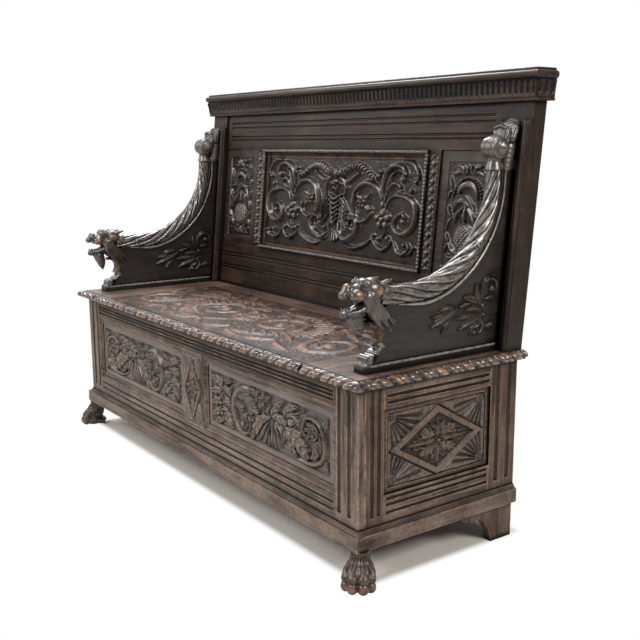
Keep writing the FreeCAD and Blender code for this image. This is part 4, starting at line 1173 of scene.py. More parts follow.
@dataclass
class ChestEnds:
    """Lozenge and gouged fans of the two end panels."""

    field: Point = (297.0, 168.0)
    pitch: float = 1.4
    long: float = 140.5
    tall: float = 81.5
    strap: Point = (27.5, 17.0)
    drop: float = -3.0

    def design(self) -> Relief:
        """Strapwork lozenge with a star, leaves and corner fans.

        Returns:
            The carved field.
        """
        relief = Relief(*self.field, self.pitch)
        relief.h[:] = 4.0
        half_u, half_v = self.field[0] / 2, self.field[1] / 2
        for side_u, side_v, start in ((1, 1, 180), (-1, 1, 270), (-1, -1, 0), (1, -1, 90)):
            corner = (side_u * (half_u - 8), side_v * (half_v - 8))
            relief.fan(corner, 17, 94, start, start + 90, 7, 3.8, sunk=True)
            relief.boss((corner[0] - side_u * 3, corner[1] - side_v * 3), 9, 9, 5.0, petals=6, button=0.4)
        inner_long, inner_tall = self.long - self.strap[0], self.tall - self.strap[1]
        rise = relief.v - self.drop
        ring_share = np.abs(relief.u) / self.long + np.abs(rise) / self.tall
        inner = np.abs(relief.u) / inner_long + np.abs(rise) / inner_tall
        relief.h = np.where(ring_share < 1.04, np.where(ring_share < 1.0, 5.4, 0.0), relief.h)
        relief.h = np.where(inner < 1.0, 0.0, relief.h)
        self.star(relief, inner_long, inner_tall)
        relief.finish(0.15, 0.1, 0.5, 7)
        return relief

    def star(self, relief: Relief, long: float, tall: float) -> None:
        """Carves the four-pointed star and the leaf clusters between its points.

        Args:
            relief: Field of the panel.
            long: Half length of the lozenge's ground.
            tall: Half height of the lozenge's ground.
        """
        middle = np.array((0, self.drop))
        for side_u, side_v in ((1, 1), (-1, 1), (-1, -1), (1, -1)):
            for share_u, share_v, width in ((0.64, 0.15, 19), (0.16, 0.64, 19), (0.45, 0.40, 36)):
                vein = np.array(((8, 6), (0.55 * long * share_u, 0.6 * tall * share_v),
                                 (long * share_u, tall * share_v)))
                relief.leaf(vein * (side_u, side_v) + middle, width, 7.5, 4, gap=1.5)
        for tip in np.array(((long - 4, 0), (0, tall - 3), (-long + 4, 0), (0, -tall + 3))):
            relief.stroke([middle, middle + tip * 0.5, middle + tip], (19, 15, 2), (9.0, 7.5, 4.5),
                          Section.RIDGE, gap=2.0)
        relief.boss((0, self.drop), 14, 12, 9.5, petals=8, button=0.42)

    def build(self) -> None:
        """Sets the carving on both ends."""
        relief = self.design()
        low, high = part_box("end_panel_right")
        ground = Vector((high.x - 4.4 * MM, (low.y + high.y) / 2, (low.z + high.z) / 2))
        plane = Plane(ground, REAR, UP)
        SHOP.pair("end_carving", carve(relief, plane, 6.0), CARVED_END)


@dataclass
class Back:
    """Carving of the raked back: centre panel, side panels, bead strings and the centre's frame."""

    rake_deg: float = 5.46
    foot: Point = (192.0, 463.0)
    low: float = 144.0
    high: float = 465.0
    panel_set: float = 14.0
    panel_back: float = 27.0
    side_set: float = 10.0
    rail_set: float = 5.0
    crest: float = 16.0
    side_crest: float = 13.0
    centre_wide: float = 790.0
    side_wide: float = 207.0
    side_x: float = 540.5
    string_x: float = 416.0
    row: float = 11.0

    def plane(self, x: float, up: float, depth: float) -> Plane:
        """A field on the back's slope.

        Args:
            x: Its middle across the back.
            up: Its middle's height up the slope.
            depth: How far its ground lies behind the face of the stiles.

        Returns:
            The field's plane.
        """
        rake = math.radians(self.rake_deg)
        rise = Vector((0, math.sin(rake), math.cos(rake)))
        inward = Vector((0, math.cos(rake), -math.sin(rake)))
        middle = Vector((x, *self.foot)) + rise * up + inward * depth
        return Plane(middle * MM, RIGHT, rise)

    def centre(self) -> Relief:
        """Symmetric scrollwork of the centre panel.

        Returns:
            The carved field.
        """
        relief = Relief(self.centre_wide, self.high - self.low, 1.75)
        top = self.crest
        for line, widths in (
            (((4, 62), (40, 66), (76, 78), (102, 94)), (12, 18, 14, 5)),
            (((214, 26), (217, 6), (222, -12)), (8, 9, 6)),
            (((262, 112), (290, 126), (320, 127), (346, 113), (359, 90), (348, 76)), (6, 13, 14, 11, 6)),
            (((224, 20), (240, 54), (263, 70), (286, 63), (292, 48)), (6, 11, 12, 7)),
            (((268, 44), (292, 42), (318, 34), (332, 52)), (6, 12, 13, 7)),
            (((238, -60), (232, -78), (212, -84)), (6, 9, 6)),
            (((213, 30), (214, 60), (223, 92), (246, 112), (272, 118), (296, 111), (306, 94), (297, 82)),
             (7, 14, 16, 14, 8)),
            (((231, 2), (246, 26), (272, 37), (304, 36), (332, 29), (353, 12), (359, -14), (347, -45),
              (318, -63), (286, -60), (273, -42), (280, -22), (300, -10), (316, -18), (310, -31)),
             (6, 11, 14, 17, 19, 17, 14, 11, 7)),
            (((213, 24), (197, 50), (163, 66), (131, 66), (104, 51), (87, 23), (84, -5), (95, -28),
              (122, -42), (150, -37), (168, -20), (164, -4)), (7, 13, 15, 16, 17, 16, 13, 10, 7)),
            (((58, -112), (90, -120), (120, -116), (152, -105), (177, -89), (188, -76)), (5, 13, 15, 11, 5)),
            (((176, -80), (200, -102), (227, -114), (250, -106), (263, -89), (250, -80)), (5, 12, 13, 10, 7)),
            (((276, -88), (292, -112), (318, -118), (340, -106), (334, -90), (320, -93)), (5, 12, 13, 10, 6)),
            (((330, -118), (346, -114), (358, -98)), (5, 10, 5)),
            (((22, -48), (29, -80), (54, -99), (84, -92), (106, -76), (113, -53), (97, -36), (76, -42),
              (70, -58)), (8, 17, 20, 17, 14, 11, 7)),
        ):
            relief.scroll(line, [1.25 * width for width in widths], top if len(line) > 6 else 13.0)
        relief.blades((60, -70), (((78, -64), (92, -70)), ((46, -74), (40, -60))), 13, 12.0)
        relief.blades((222, 34), (((244, 76), (268, 96)), ((250, 92), (286, 100))), 11, 11.0)
        relief.blades((127, 12), (((146, 26), (160, 40)), ((148, -2), (156, -16)), ((106, 30), (112, 46))),
                      15, 11.0)
        for drop in range(0, 60, 12):
            relief.stroke([(24, 26 - drop), (44, 8 - drop), (64, -16 - drop)], (8, 13, 6), (11, 13, 10),
                          Section.RIDGE, gap=2.0)
        for x, y, reach in ((127, 12, 12), (222, -30, 20)):
            for turn_deg in range(20, 380, 72):
                turn = math.radians(turn_deg)
                petal = (x + reach * math.cos(turn), y + 0.85 * reach * math.sin(turn))
                relief.boss(petal, 0.72 * reach, 0.6 * reach, 14.0, turn_deg, gap=2.0)
            relief.boss((x, y), 0.55 * reach, 0.5 * reach, top, gap=2.0)
        self.horn(relief)
        relief.mirror()
        self.figure(relief)
        relief.finish(0.35, 0.15, 3.0, 11, 27.0)
        return relief

    def horn(self, relief: Relief) -> None:
        """Carves the twisted garland that hangs from the middle to the side.

        Args:
            relief: Field of the panel.
        """
        line = curve([(16, 90), (40, 97), (74, 112), (106, 114), (136, 104), (164, 88), (186, 82), (202, 94),
                      (205, 116)])
        stations = even(line, 13.0)
        for number, (start, end) in enumerate(zip(stations, stations[1:])):
            run = end - start
            size = 13.5 - 7.0 * (number / len(stations)) ** 2.0
            lean_deg = math.degrees(math.atan2(run[1], run[0])) - 30
            relief.boss(start, size * 0.7, size, self.crest, lean_deg, gap=1.4)

    def figure(self, relief: Relief) -> None:
        """Carves a small mask over a foliate body and a shell, on the panel's middle line.

        Args:
            relief: Field of the panel.
        """
        top = self.crest
        relief.fan((0, -64), 6, 48, 208, 332, 7, 13)
        for fold in range(6):
            wide = 30 - 3.5 * fold
            drop = 14 * fold
            relief.stroke(curve([(-wide, 30 - drop), (0, 16 - drop), (wide, 30 - drop)]), (8, 12, 8),
                          (11, top, 11), gap=1.8)
        for side in (-1, 1):
            relief.stroke(curve([(side * 10, 84), (side * 34, 74), (side * 50, 50), (side * 44, 24)]),
                          (8, 17, 15, 6), (11, 14, 13, 9), Section.RIDGE)
            relief.boss((side * 15, 93), 11, 11, top, side * 30)
        relief.boss((0, 92), 12, 13, top + 2)
        relief.boss((0, 50), 15, 20, top + 2)
        relief.boss((0, 68), 16, 8, top + 1, gap=1.2)
        for side in (-1, 1):
            relief.boss((side * 5.5, 54), 2.8, 2.0, top + 2.6, gap=1.6)
            relief.stroke(curve([(side * 1.5, 58), (side * 5, 60), (side * 9, 57)]), (2.4, 2.6, 2),
                          (top + 3,) * 2, gap=1.0)
        relief.stroke([(0, 58), (0, 47)], (2.6, 4.8), (top + 3, top + 5), gap=1.0)
        relief.stroke([(-4.5, 41), (4.5, 41)], (2.2, 2.8, 2.2), (top + 2, top + 3, top + 2), gap=1.0)

    def side(self) -> Relief:
        """Foliage, arch, drapery and cone of a side panel.

        Returns:
            The carved field.
        """
        relief = Relief(self.side_wide, self.high - self.low, 1.5)
        top = self.side_crest
        for side in (-1, 1):
            for root, tips, width, height in (
                ((14, 100), (((30, 108), (54, 98)), ((22, 116), (44, 124)), ((6, 112), (8, 124))), 15, 10.0),
                ((52, 60), (((60, 76), (66, 96)), ((62, 56), (68, 40))), 13, 9.0),
                ((50, -8), (((60, 6), (64, 24)), ((60, -20), (66, -40))), 14, 9.0),
                ((50, -70), (((60, -60), (67, -46)), ((60, -80), (67, -96))), 13, 9.0),
            ):
                relief.blades(np.array(root) * (side, 1), np.array(tips) * (side, 1), width, height)
        relief.beads(ring((0, 44), 48, -8, 196), 8.0, 10.0)
        relief.stroke(ring((0, 44), 39, -8, 196), (6, 6), (8, 8), Section.HOLLOW)
        relief.stroke(curve([(-32, 46), (-24, 68), (2, 78), (26, 66), (33, 42)]), (9, 19, 22, 17, 8),
                      (9, top, top, 11, 8))
        relief.stroke(curve([(-48, 12), (-36, 36), (-12, 42), (10, 26), (26, 6), (50, 0)]),
                      (10, 19, 22, 18, 10), (9, 12, top, 12, 8), Section.HOLLOW)
        relief.blades((-2, 22), (((20, 0), (38, -22)), ((-30, 4), (-36, -20)), ((-6, 2), (-2, -18))),
                      18, 11.0)
        for side in (-1, 1):
            tips = np.array((((36, -92), (54, -70)), ((34, -108), (62, -104)), ((24, -114), (42, -122))))
            relief.blades((side * 10, -96), tips * (side, 1), 16, 10.0)
        relief.boss((-2, -58), 37, 38, 16.0, lattice=13.0)
        relief.boss((0, -114), 13, 11, 10, petals=5, button=0.4)
        relief.finish(0.35, 0.15, 3.0, 13, 30.0, self.panel_set - self.side_set)
        return relief

    def strings(self) -> None:
        """Sets strings of drops on the muntins and carved rows round the centre panel."""
        middle = (self.low + self.high) / 2
        relief = Relief(30.0, self.high - self.low - 24, 1.3)
        wave = (relief.v / 23.0) % 1.0
        drop = unit(1 - (relief.u / 9.0) ** 2 - ((wave - 0.5) / 0.38) ** 2)
        lens = ((np.abs(relief.u) - 10.5) / 3.2) ** 2 + (((wave + 0.5) % 1.0 - 0.5) / 0.26) ** 2
        relief.h = np.maximum(8.5 * np.sqrt(drop), 3.0 * np.sqrt(unit(1 - lens)))
        relief.finish(0.0, 0.0, 1.5, 1)
        string = carve(relief, self.plane(self.string_x, middle, self.rail_set - 0.2), 7.0)
        SHOP.pair("muntin_string", string, CARVED_BACK)
        wide, tall = self.centre_wide, self.high - self.low
        off_x, off_up = (wide - self.row) / 2, (tall - self.row) / 2
        for name, run, x, up, upright in (
            ("top", wide, 0.0, middle + off_up, False),
            ("bottom", wide, 0.0, middle - off_up, False),
            ("left", tall - 2 * self.row, -off_x, middle, True),
            ("right", tall - 2 * self.row, off_x, middle, True),
        ):
            relief = Relief(self.row, run, 1.2) if upright else Relief(run, self.row, 1.2)
            along, across = (relief.v, relief.u) if upright else (relief.u, relief.v)
            wave = ((along + across * 0.7) / 10.0) % 1.0
            dome = bulge(across / 5.2)
            relief.h = 5.0 * dome * unit(np.sin(np.pi * wave) * 1.3) ** 0.6
            row = carve(relief, self.plane(x, up, 0.9), 5.0)
            SHOP.piece(f"centre_frame_row_{name}", row, CARVED_BACK)

    def build(self) -> None:
        """Sets all carving on the back."""
        middle = (self.low + self.high) / 2
        centre = carve(self.centre(), self.plane(0.0, middle, self.panel_set), self.crest,
                       self.panel_back - self.panel_set)
        SHOP.piece("back_centre_carving", centre, CARVED_BACK, "carcass",
                   ("back_centre_panel",))
        side = carve(self.side(), self.plane(self.side_x, middle, self.panel_set), self.side_crest,
                     self.panel_back - self.side_set)
        SHOP.pair("back_side_carving", side, CARVED_BACK, ("back_side_panel",))
        self.strings()


@dataclass
class Lid:
    """Low carving of the seat lid."""

    field: Point = (1089.0, 378.0)
    pitch: float = 2.2
    crest: float = 3.6
    knuckle_bed: tuple[float, float, float, float] = (298.0, 362.0, 4.75, 3.5)

    def design(self) -> Relief:
        """Oval cartouche with a lobed edge, shells, medallions and sprays.

        Returns:
            The carved field.
        """
        relief = Relief(*self.field, self.pitch)
        top = self.crest
        for line, widths in (
            (((300, 128), (352, 70), (362, -6), (386, -82), (440, -116), (492, -90), (506, -40), (480, 4),
              (436, 12), (402, -20), (408, -62), (440, -72)), (12, 28, 32, 32, 30, 24, 20, 15)),
            (((10, -66), (76, -116), (160, -124), (232, -84), (252, -20), (222, 46), (165, 72), (108, 52),
              (88, 4), (118, -40), (165, -44), (198, -10), (180, 24)), (12, 28, 34, 34, 30, 26, 22, 18, 14)),
            (((0, 130), (70, 112), (140, 126), (220, 118), (272, 84)), (24, 34, 30, 26, 12)),
        ):
            relief.scroll(line, widths, top)
        for root, tips in (
            ((252, -24), (((286, -58), (330, -84)), ((296, -24), (340, -20)), ((288, 10), (330, 50)))),
            ((300, 108), (((370, 146), (440, 150)), ((380, 106), (450, 96)), ((376, 74), (440, 44)))),
            ((80, -112), (((130, -152), (200, -160)), ((40, -146), (0, -160)))),
            ((210, 60), (((250, 96), (300, 150)), ((200, 120), (210, 160)))),
            ((470, 40), (((500, 70), (524, 120)), ((506, 44), (528, 20)))),
            ((300, -110), (((350, -140), (420, -154)), ((260, -140), (230, -160)))),
            ((120, 60), (((80, 84), (30, 90)), ((130, 96), (150, 110)))),
            ((60, -20), (((40, 20), (50, 70)), ((30, -30), (0, -50)))),
        ):
            relief.blades(root, tips, 30, top)
        for number in range(15):
            angle = math.radians(-56 + 8.0 * number)
            root = np.array((math.cos(angle) * 276, 14 + math.sin(angle) * 116))
            tip = np.array((math.cos(angle + 0.05) * 326, 14 + math.sin(angle + 0.05) * 154))
            relief.stroke([root, (root + tip) / 2, tip], (14, 20, 14), (3, top, 3.5), gap=4.0)
        relief.boss((150, 8), 26, 22, top, -35, button=0.5, gap=4.0)
        relief.boss((440, -46), 22, 22, top, button=0.5, gap=4.0)
        relief.boss((0, 14), 56, 44, top, petals=8, button=0.5, gap=4.0)
        relief.mirror()
        relief.finish(0.7, 0.6, 6.0, 17, 11.0)
        return relief

    def build(self) -> None:
        """Sets the carving on the lid."""
        low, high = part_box("lid_board")
        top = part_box("seat_end_board_right")[1].z
        start, end, deep, tall = self.knuckle_bed
        rear = low.y + self.field[1] * MM
        plane = Plane(Vector((0, (low.y + rear) / 2, top)), RIGHT, REAR)
        board = carve(self.design(), plane, self.crest, tall)
        for vert in board.verts:
            if vert.co.y > rear - 0.1 * MM and start < abs(vert.co.x) / MM < end:
                vert.co.y = rear - deep * MM
        SHOP.piece("lid_carving", board, CARVED_LID, "lid", ("lid_board",))
        under = block(low, Vector((high.x, rear, top - tall * MM)))
        SHOP.piece("lid_underside", under, PLAIN, "lid", ("lid_board",))


@dataclass
class NulledEdge:
    """Slanting lobes of the seat's edge moulding: an egg and a ribbed leaf by turns."""

    unit: float = 80.0
    step: float = 1.6
    depth: float = 7.5
    slant: float = 24.0
    plain_below: float = 14.0
    plain_above: float = 5.0
    heart: float = 9.0
    rows: int = 34
    section: tuple[Point, ...] = (
        (0.0, 0.0), (11.0, 0.0), (17.5, 0.4), (21.0, 2.4), (23.0, 6.0), (23.4, 9.5), (22.4, 13.0),
        (20.0, 16.0), (16.5, 18.6), (12.5, 20.4), (8.5, 21.4), (5.0, 21.6), (2.0, 21.0), (0.0, 20.4),
    )

    def pattern(self, station: Array, climb: Array) -> Array:
        """Height share of the lobes.

        Args:
            station: Distance along the moulding.
            climb: Share of the way up the carved face.

        Returns:
            0 in the gaps and 1 on the crests.
        """
        place = ((station - self.slant * (climb - 0.5)) / self.unit) % 1.0
        ends = unit(np.sin(math.pi * climb) * 1.8) ** 0.5
        egg = bulge((place - 0.24) / 0.19) * ends
        inside = unit((place - 0.44) / 0.5)
        ribs = (0.45 + 0.55 * np.abs(np.sin(2 * math.pi * inside)) ** 0.6) * np.sin(math.pi * inside) ** 0.3
        return np.where(place < 0.44, egg, ribs)

    def strip(self, start: Vector, end: Vector, out: Vector, low: float, mitres: Point, lean: int) -> BMesh:
        """One straight length of moulding.

        Args:
            start: Where its inner edge starts.
            end: Where its inner edge ends.
            out: Direction of its nose.
            low: Height of its bottom in metres.
            mitres: How far each end grows with the distance outward: 1 for a mitre, 0 for a square end.
            lean: Direction in which the lobes slant, 1 or -1.

        Returns:
            The closed mesh.
        """
        run = end - start
        length = run.length / MM
        columns = int(length / self.step) + 2
        profile = np.asarray(self.section)
        steps = np.concatenate(([0.0], np.cumsum(np.hypot(*np.diff(profile, axis=0).T))))
        fine = np.linspace(0.0, steps[-1], self.rows)
        reach, height = (np.interp(fine, steps, profile[:, axis])[:, None] for axis in (0, 1))
        share = np.linspace(0.0, 1.0, columns)[None, :]
        station = share * length - mitres[0] * reach * (1 - share) + mitres[1] * reach * share
        carved_run = steps[-1] - self.plain_below - self.plain_above
        climb = unit((fine - self.plain_below) / carved_run)[:, None]
        lobes = self.pattern(station * lean, climb)
        carved = unit(np.minimum(climb, 1 - climb) / 0.08)
        sink = self.depth * (lobes - 1.0) * carved
        tilt = np.arctan2(height - self.heart, np.maximum(reach - self.heart, 0.5))
        along = np.array(run.normalized())
        places = (np.array(start) + station[..., None] * along * MM
                  + ((reach + sink * np.cos(tilt)) * MM)[..., None] * np.array(out)
                  + (low + (height + sink * np.sin(tilt)) * MM)[..., None] * np.array((0.0, 0.0, 1.0)))
        # Painted shade in the gaps between lobes: the relief value follows the lobes' height, so the gaps are
        # coloured dark.
        bm = sheet(places, np.where(carved > 0.5, lobes, 0.5) + 0.0 * station)
        bmesh.ops.holes_fill(bm, edges=rim_of(bm))
        return bm

    def build(self) -> None:
        """Replaces the plain mouldings of the seat and lid."""
        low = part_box("seat_moulding_right")[0].z
        near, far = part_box("seat_end_board_right")
        corner = Vector((far.x, near.y, 0))
        side = self.strip(corner, Vector((far.x, far.y, 0)), RIGHT, low, (1, 0), -1)
        add_to(side, self.strip(Vector((near.x, near.y, 0)), corner, FRONT, low, (0, 1), 1))
        SHOP.pair("seat_nulling", side, CARVED_SEAT, ("seat_moulding",))
        left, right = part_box("lid_moulding")
        start, end = (Vector((x, near.y, 0)) for x in (left.x, right.x))
        strip = self.strip(start, end, FRONT, left.z, (0, 0), 1)
        SHOP.piece("lid_nulling", strip, CARVED_SEAT, "lid", ("lid_moulding",))


@dataclass
class Cornice:
    """Fluted frieze laid over the plain one and the moulded cap above it."""

    pitch: float = 17.5
    proud: float = 4.0
    flare: float = 5.0
    columns: int = 10
    rows: int = 16
    cap: tuple[Point, ...] = (
        (7.0, 0.0), (6.5, 2.0), (5.0, 4.0), (2.4, 5.4), (0.8, 8.0), (0.0, 12.0), (0.8, 16.0), (2.6, 18.8),
        (5.4, 20.4), (8.0, 20.8), (8.6, 21.2), (9.0, 24.5), (10.0, 26.4), (12.0, 27.0),
    )

    def band(self, start: Vector, end: Vector, out: Vector, heights: Point, mitres: Point) -> BMesh:
        """One straight length of fluted frieze.

        Args:
            start: Where its foot starts.
            end: Where its foot ends.
            out: Direction that it faces.
            heights: Foot and top in metres.
            mitres: How far each end grows with the distance outward.

        Returns:
            The closed mesh.
        """
        run = end - start
        count = round(run.length / MM / self.pitch)
        share, climb = np.meshgrid(np.linspace(0, 1, count * self.columns + 1), np.linspace(0, 1, self.rows))
        flute = bulge(((share * count) % 1.0 - 0.5) / 0.24)
        flute = flute * unit((1 - climb) / 0.1) ** 0.5 * unit((climb - 0.14) / 0.2)
        plain = self.proud + self.flare * climb ** 1.6
        reach = plain - 1.3 * self.proud * flute
        grow = (mitres[1] * share - mitres[0] * (1 - share)) * plain
        places = (np.array(start) + share[..., None] * np.array(run)
                  + (grow * MM)[..., None] * np.array(run.normalized())
                  + (reach * MM)[..., None] * np.array(out))
        places[..., 2] = heights[0] + (heights[1] - heights[0]) * climb
        # Painted shade in the flutes: their relief value is 0, so the finish colours them dark.
        bm = sheet(places, np.where(flute > 0.3, 0.0, 0.6))
        close_back(bm, out * (-(2.0 + self.proud) * MM))
        return bm

    def build(self) -> None:
        """Sets the fluting on the front and both returns, and the cap on top."""
        near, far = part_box("cornice_frieze")
        heights = (near.z + 8 * MM, far.z - 0.5 * MM)
        foot_x, foot_y = far.x - 5 * MM, near.y + 5 * MM
        left, right = (Vector((x, foot_y, 0)) for x in (-foot_x, foot_x))
        front = self.band(left, right, FRONT, heights, (1, 1))
        SHOP.piece("frieze_flutes_front", front, FRIEZE)
        side = self.band(right, Vector((foot_x, far.y - 2 * MM, 0)), RIGHT, heights, (1, 0))
        SHOP.pair("frieze_flutes", side, FRIEZE)
        near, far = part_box("cornice_top_board")
        rows = []
        for inset, rise in self.cap:
            x, y, z = far.x - inset * MM, near.y + inset * MM, near.z + rise * MM
            rows.append([(-x, far.y, z), (-x, y, z), (x, y, z), (x, far.y, z), (-x, far.y, z)])
        places = np.array(rows)
        bm = sheet(places, np.full(places.shape[:2], 0.5))
        bmesh.ops.remove_doubles(bm, verts=bm.verts, dist=1e-6)
        bmesh.ops.holes_fill(bm, edges=rim_of(bm))
        SHOP.piece("cornice_cap", bm, BACK, "carcass", ("cornice_top_board",), smooth=False)


@dataclass
class Arm:
    """One arm: spiral neck, rolled top, lion's head, carved sprigs and reeded toe, made right-handed."""

    centre: float = 686.0
    front: float = -256.0
    neck_z: float = 622.0
    bend: float = 178.0
    sweep: float = 248.0
    neck_start: float = 84.0
    neck_top: float = 890.0
    radii: tuple[float, ...] = (21.0, 23.0, 24.0, 23.5, 21.0, 18.0, 16.5)
    strands: int = 7
    turns: float = 1.45
    board_half: float = 12.0
    base_half: float = 18.0
    base_top: float = 480.0
    sprig_middle: Point = (340.0, 575.0)

    def world(self, y: float, z: float, x: float = 0.0) -> Vector:
        """World place of a point given from the arm's middle plane and the chest's front, in millimetres."""
        return Vector((self.centre + x, self.front + y, z)) * MM

    def line(self, step: float) -> tuple[Array, Array]:
        """Middle line of the neck: forward run, quarter bend and riser.

        Args:
            step: Distance between its points.

        Returns:
            The points and the line's direction at each of them.
        """
        angles = np.radians(np.linspace(-90, 0, 60))
        bend = np.column_stack((self.bend + self.sweep * np.cos(angles),
                                self.neck_z + self.sweep + self.sweep * np.sin(angles)))
        riser = (self.bend + self.sweep + 2, self.neck_top)
        path = even(np.vstack(((self.neck_start, self.neck_z), bend, riser)), step)
        ways = np.gradient(path, axis=0)
        return path, ways / np.linalg.norm(ways, axis=1)[:, None]

    def along(self, path: Array, ways: Array, radii: Array, shares: Array,
              x: float = 0.0) -> BMesh:
        """A closed tube along a line in the arm's plane.

        Args:
            path: The line.
            ways: Its directions.
            radii: Radius in millimetres by angle and station.
            shares: Relief value by angle and station.
            x: Distance of the line from the arm's middle plane.

        Returns:
            The closed mesh.
        """
        blank = np.zeros(len(path))
        middles = np.column_stack((blank + self.centre + x, path[:, 0] + self.front, path[:, 1])) * MM
        first = np.column_stack((blank + 1, blank, blank))
        second = np.column_stack((blank, -ways[:, 1], ways[:, 0]))
        angles = np.linspace(0.0, 2 * math.pi, radii.shape[0])[:, None, None]
        places = middles + (radii * MM)[..., None] * (first * np.cos(angles) + second * np.sin(angles))
        bm = sheet(places, shares)
        bmesh.ops.remove_doubles(bm, verts=bm.verts, dist=1e-6)
        bmesh.ops.holes_fill(bm, edges=rim_of(bm))
        return bm

    def neck(self) -> BMesh:
        """Neck of twisted strands.

        Returns:
            The closed mesh.
        """
        path, ways = self.line(2.0)
        share, angle = np.meshgrid(np.linspace(0, 1, len(path)), np.linspace(0, 1, 129))
        phase = self.strands * (angle + self.turns * share ** 1.2)
        saw = phase % 1.0
        strand = bulge(2.0 * saw ** 0.8 - 1.0) ** 0.8
        fibre = np.abs(np.sin(2 * math.pi * phase)) ** 0.7
        size = np.interp(share, np.linspace(0, 1, len(self.radii)), self.radii)
        radii = size * (0.68 + 0.34 * strand) + 0.8 * (fibre - 0.6)
        # Painted shade between the strands: the relief value falls to 0 in the gaps, so the finish colours
        # them dark.
        return self.along(path, ways, radii, 0.8 * strand ** 1.8)

    def border(self) -> BMesh:
        """Raised beads on both faces of the board: below the neck and along the base.

        Returns:
            The closed mesh of the beads.
        """
        path, ways = self.line(4.0)
        path, ways = path[12:], ways[12:]
        share = np.linspace(0.0, 1.0, len(path))
        off = np.interp(share, (0.0, 0.2), (19.0, 26.0))[:, None]
        beside = path + off * np.column_stack((ways[:, 1], -ways[:, 0]))
        radii = np.tile(np.interp(share, (0.0, 0.15, 1.0), (2.0, 6.0, 3.0)), (13, 1))
        joined = self.along(beside, ways, radii, np.full(radii.shape, 0.9), self.board_half)
        add_to(joined, self.along(beside, ways, radii, np.full(radii.shape, 0.9), -self.board_half))
        count = 60
        straight = np.column_stack((np.linspace(52.0, 436.0, count), np.full(count, self.base_top - 3.5)))
        level = np.tile((1.0, 0.0), (count, 1))
        radii = np.full((13, count), 4.2)
        for x in (-self.base_half, self.base_half):
            add_to(joined, self.along(straight, level, radii, np.full(radii.shape, 0.9), x * 0.84))
        return joined

    def roll(self) -> BMesh:
        """Rolled top with side bosses, collar and two-tiered leaf.

        Returns:
            The closed mesh.
        """
        clay = Clay(self.world(0, 0))
        for x in range(-21, 22, 2):
            swell = 28.0 - 0.008 * x * x - (2.6 if abs(x) in (5, 13) else 0.0)
            clay.mass((x, 427, 932), (2.6, swell, swell))
        for x in (-22, 22):
            clay.mass((x, 433, 933), (8, 17, 17))
            clay.mass((x * 1.3, 434, 933), (4, 9, 9))
        for step in range(8):
            clay.mass((0, 427, 883 + 3 * step), (21.5 - 0.9 * step, 21.5 - 0.9 * step, 3))
        clay.limb([(0, 428, 900), (0, 428, 915)], (16, 18))
        clay.limb([(0, 462, 890), (0, 470, 930), (0, 482, 972)], (18, 19, 15))
        for x in range(-15, 16, 3):
            drop = abs(x) * 0.3
            clay.limb([(x, 446, 944), (x, 452, 962), (x, 449, 979 - drop)], (10, 11, 6))
            clay.limb([(x, 464, 955), (x, 474, 976), (x, 484, 994 - drop)], (13, 13, 5.5))
            clay.mass((x, 445, 981 - drop), (3, 5, 3.5))
        skin = clay.melt(1.6, lambda p: 1.0 * math.sin(p.x * 0.95) if p.z > 948 and p.y > 436 else 0.0)
        for x in (-28, 28):
            rub(skin, self.world(434, 933, x), 13, 0.35)
        return skin

    def head(self) -> BMesh:
        """Lion's head with open jaws, beard, ears and combed mane.

        Returns:
            The closed mesh.
        """
        clay = Clay(self.world(0, 0))
        for centre, radii in (
            ((0, 68, 640), (27, 30, 27)), ((0, 46, 648), (23, 18, 19)), ((0, 98, 626), (22, 28, 23)),
            ((0, 4, 651), (9.5, 10, 8)), ((0, -8, 635), (10, 9, 9.5)),
        ):
            clay.mass(centre, radii)
        clay.limb([(0, 44, 640), (0, 22, 641), (0, 2, 643)], (19, 14, 11))
        clay.limb([(0, 50, 600), (0, 20, 592), (0, -4, 592)], (13, 11, 8))
        clay.limb([(0, 24, 584), (0, 31, 566), (0, 37, 538)], (17, 14, 4))
        for side in (-1, 1):
            for (x, y, z), radii in (
                ((13, 21, 633), (13, 18, 14)), ((17, 50, 624), (10, 16, 18)), ((17.5, 39, 655), (10, 10, 10)),
            ):
                clay.mass((side * x, y, z), radii)
            clay.limb([(side * 14, 46, 606), (side * 12, 24, 598), (side * 7, -2, 595)], (8, 7, 6.5))
            clay.limb([(side * 17, 80, 652), (side * 22, 94, 658), (side * 21, 106, 661)], (6, 5, 2.5))
            for tooth in (-4, 5, 14):
                clay.mass((side * 9, tooth, 603), (2.4, 2.4, 4.0))
            for number, lean in enumerate(np.linspace(0.0, 1.0, 8)):
                tip = 10 * (number % 3)
                clay.limb([(side * 20, 44 + 18 * lean, 622 + 14 * lean),
                           (side * 20, 47 + 22 * lean, 600 + 12 * lean),
                           (side * 16, 68 + 28 * lean, 574 + 16 * lean),
                           (side * 9.5, 100 + 38 * lean - tip, 540 + 14 * lean + tip)], (7, 6.5, 4.5, 2.5))
        skin = clay.melt(1.5, self.comb)
        for (x, y, z), reach, amount in (
            ((0, 3, 657), 14, 1.0), ((20, 23, 630), 18, 1.0), ((-20, 23, 630), 18, 1.0),
            ((27, 74, 640), 14, 0.8), ((-27, 74, 640), 14, 0.8), ((19, 70, 590), 38, 0.24),
            ((-19, 70, 590), 38, 0.24), ((0, 98, 624), 30, 0.3), ((0, 24, 572), 28, 0.25),
        ):
            rub(skin, self.world(y, z, x), reach, amount)
        # Painted shade and highlight round the eyes: the ring in the eye's groove is coloured near-black as
        # shade, and the eyeball and the rim round the ring keep full colour as painted highlight. Points
        # below the jaw get a lower relief value and so are coloured darker.
        layer = skin.verts.layers.float["relief"]
        for vert in skin.verts:
            place = vert.co / MM - Vector((self.centre, self.front, 0))
            eye = self.from_eye(place)
            if eye < 15.0:
                vert[layer] = 0.02 if 3.5 < eye < 10.5 else 1.0
            elif place.z < 606:
                vert[layer] *= 0.4
        return skin

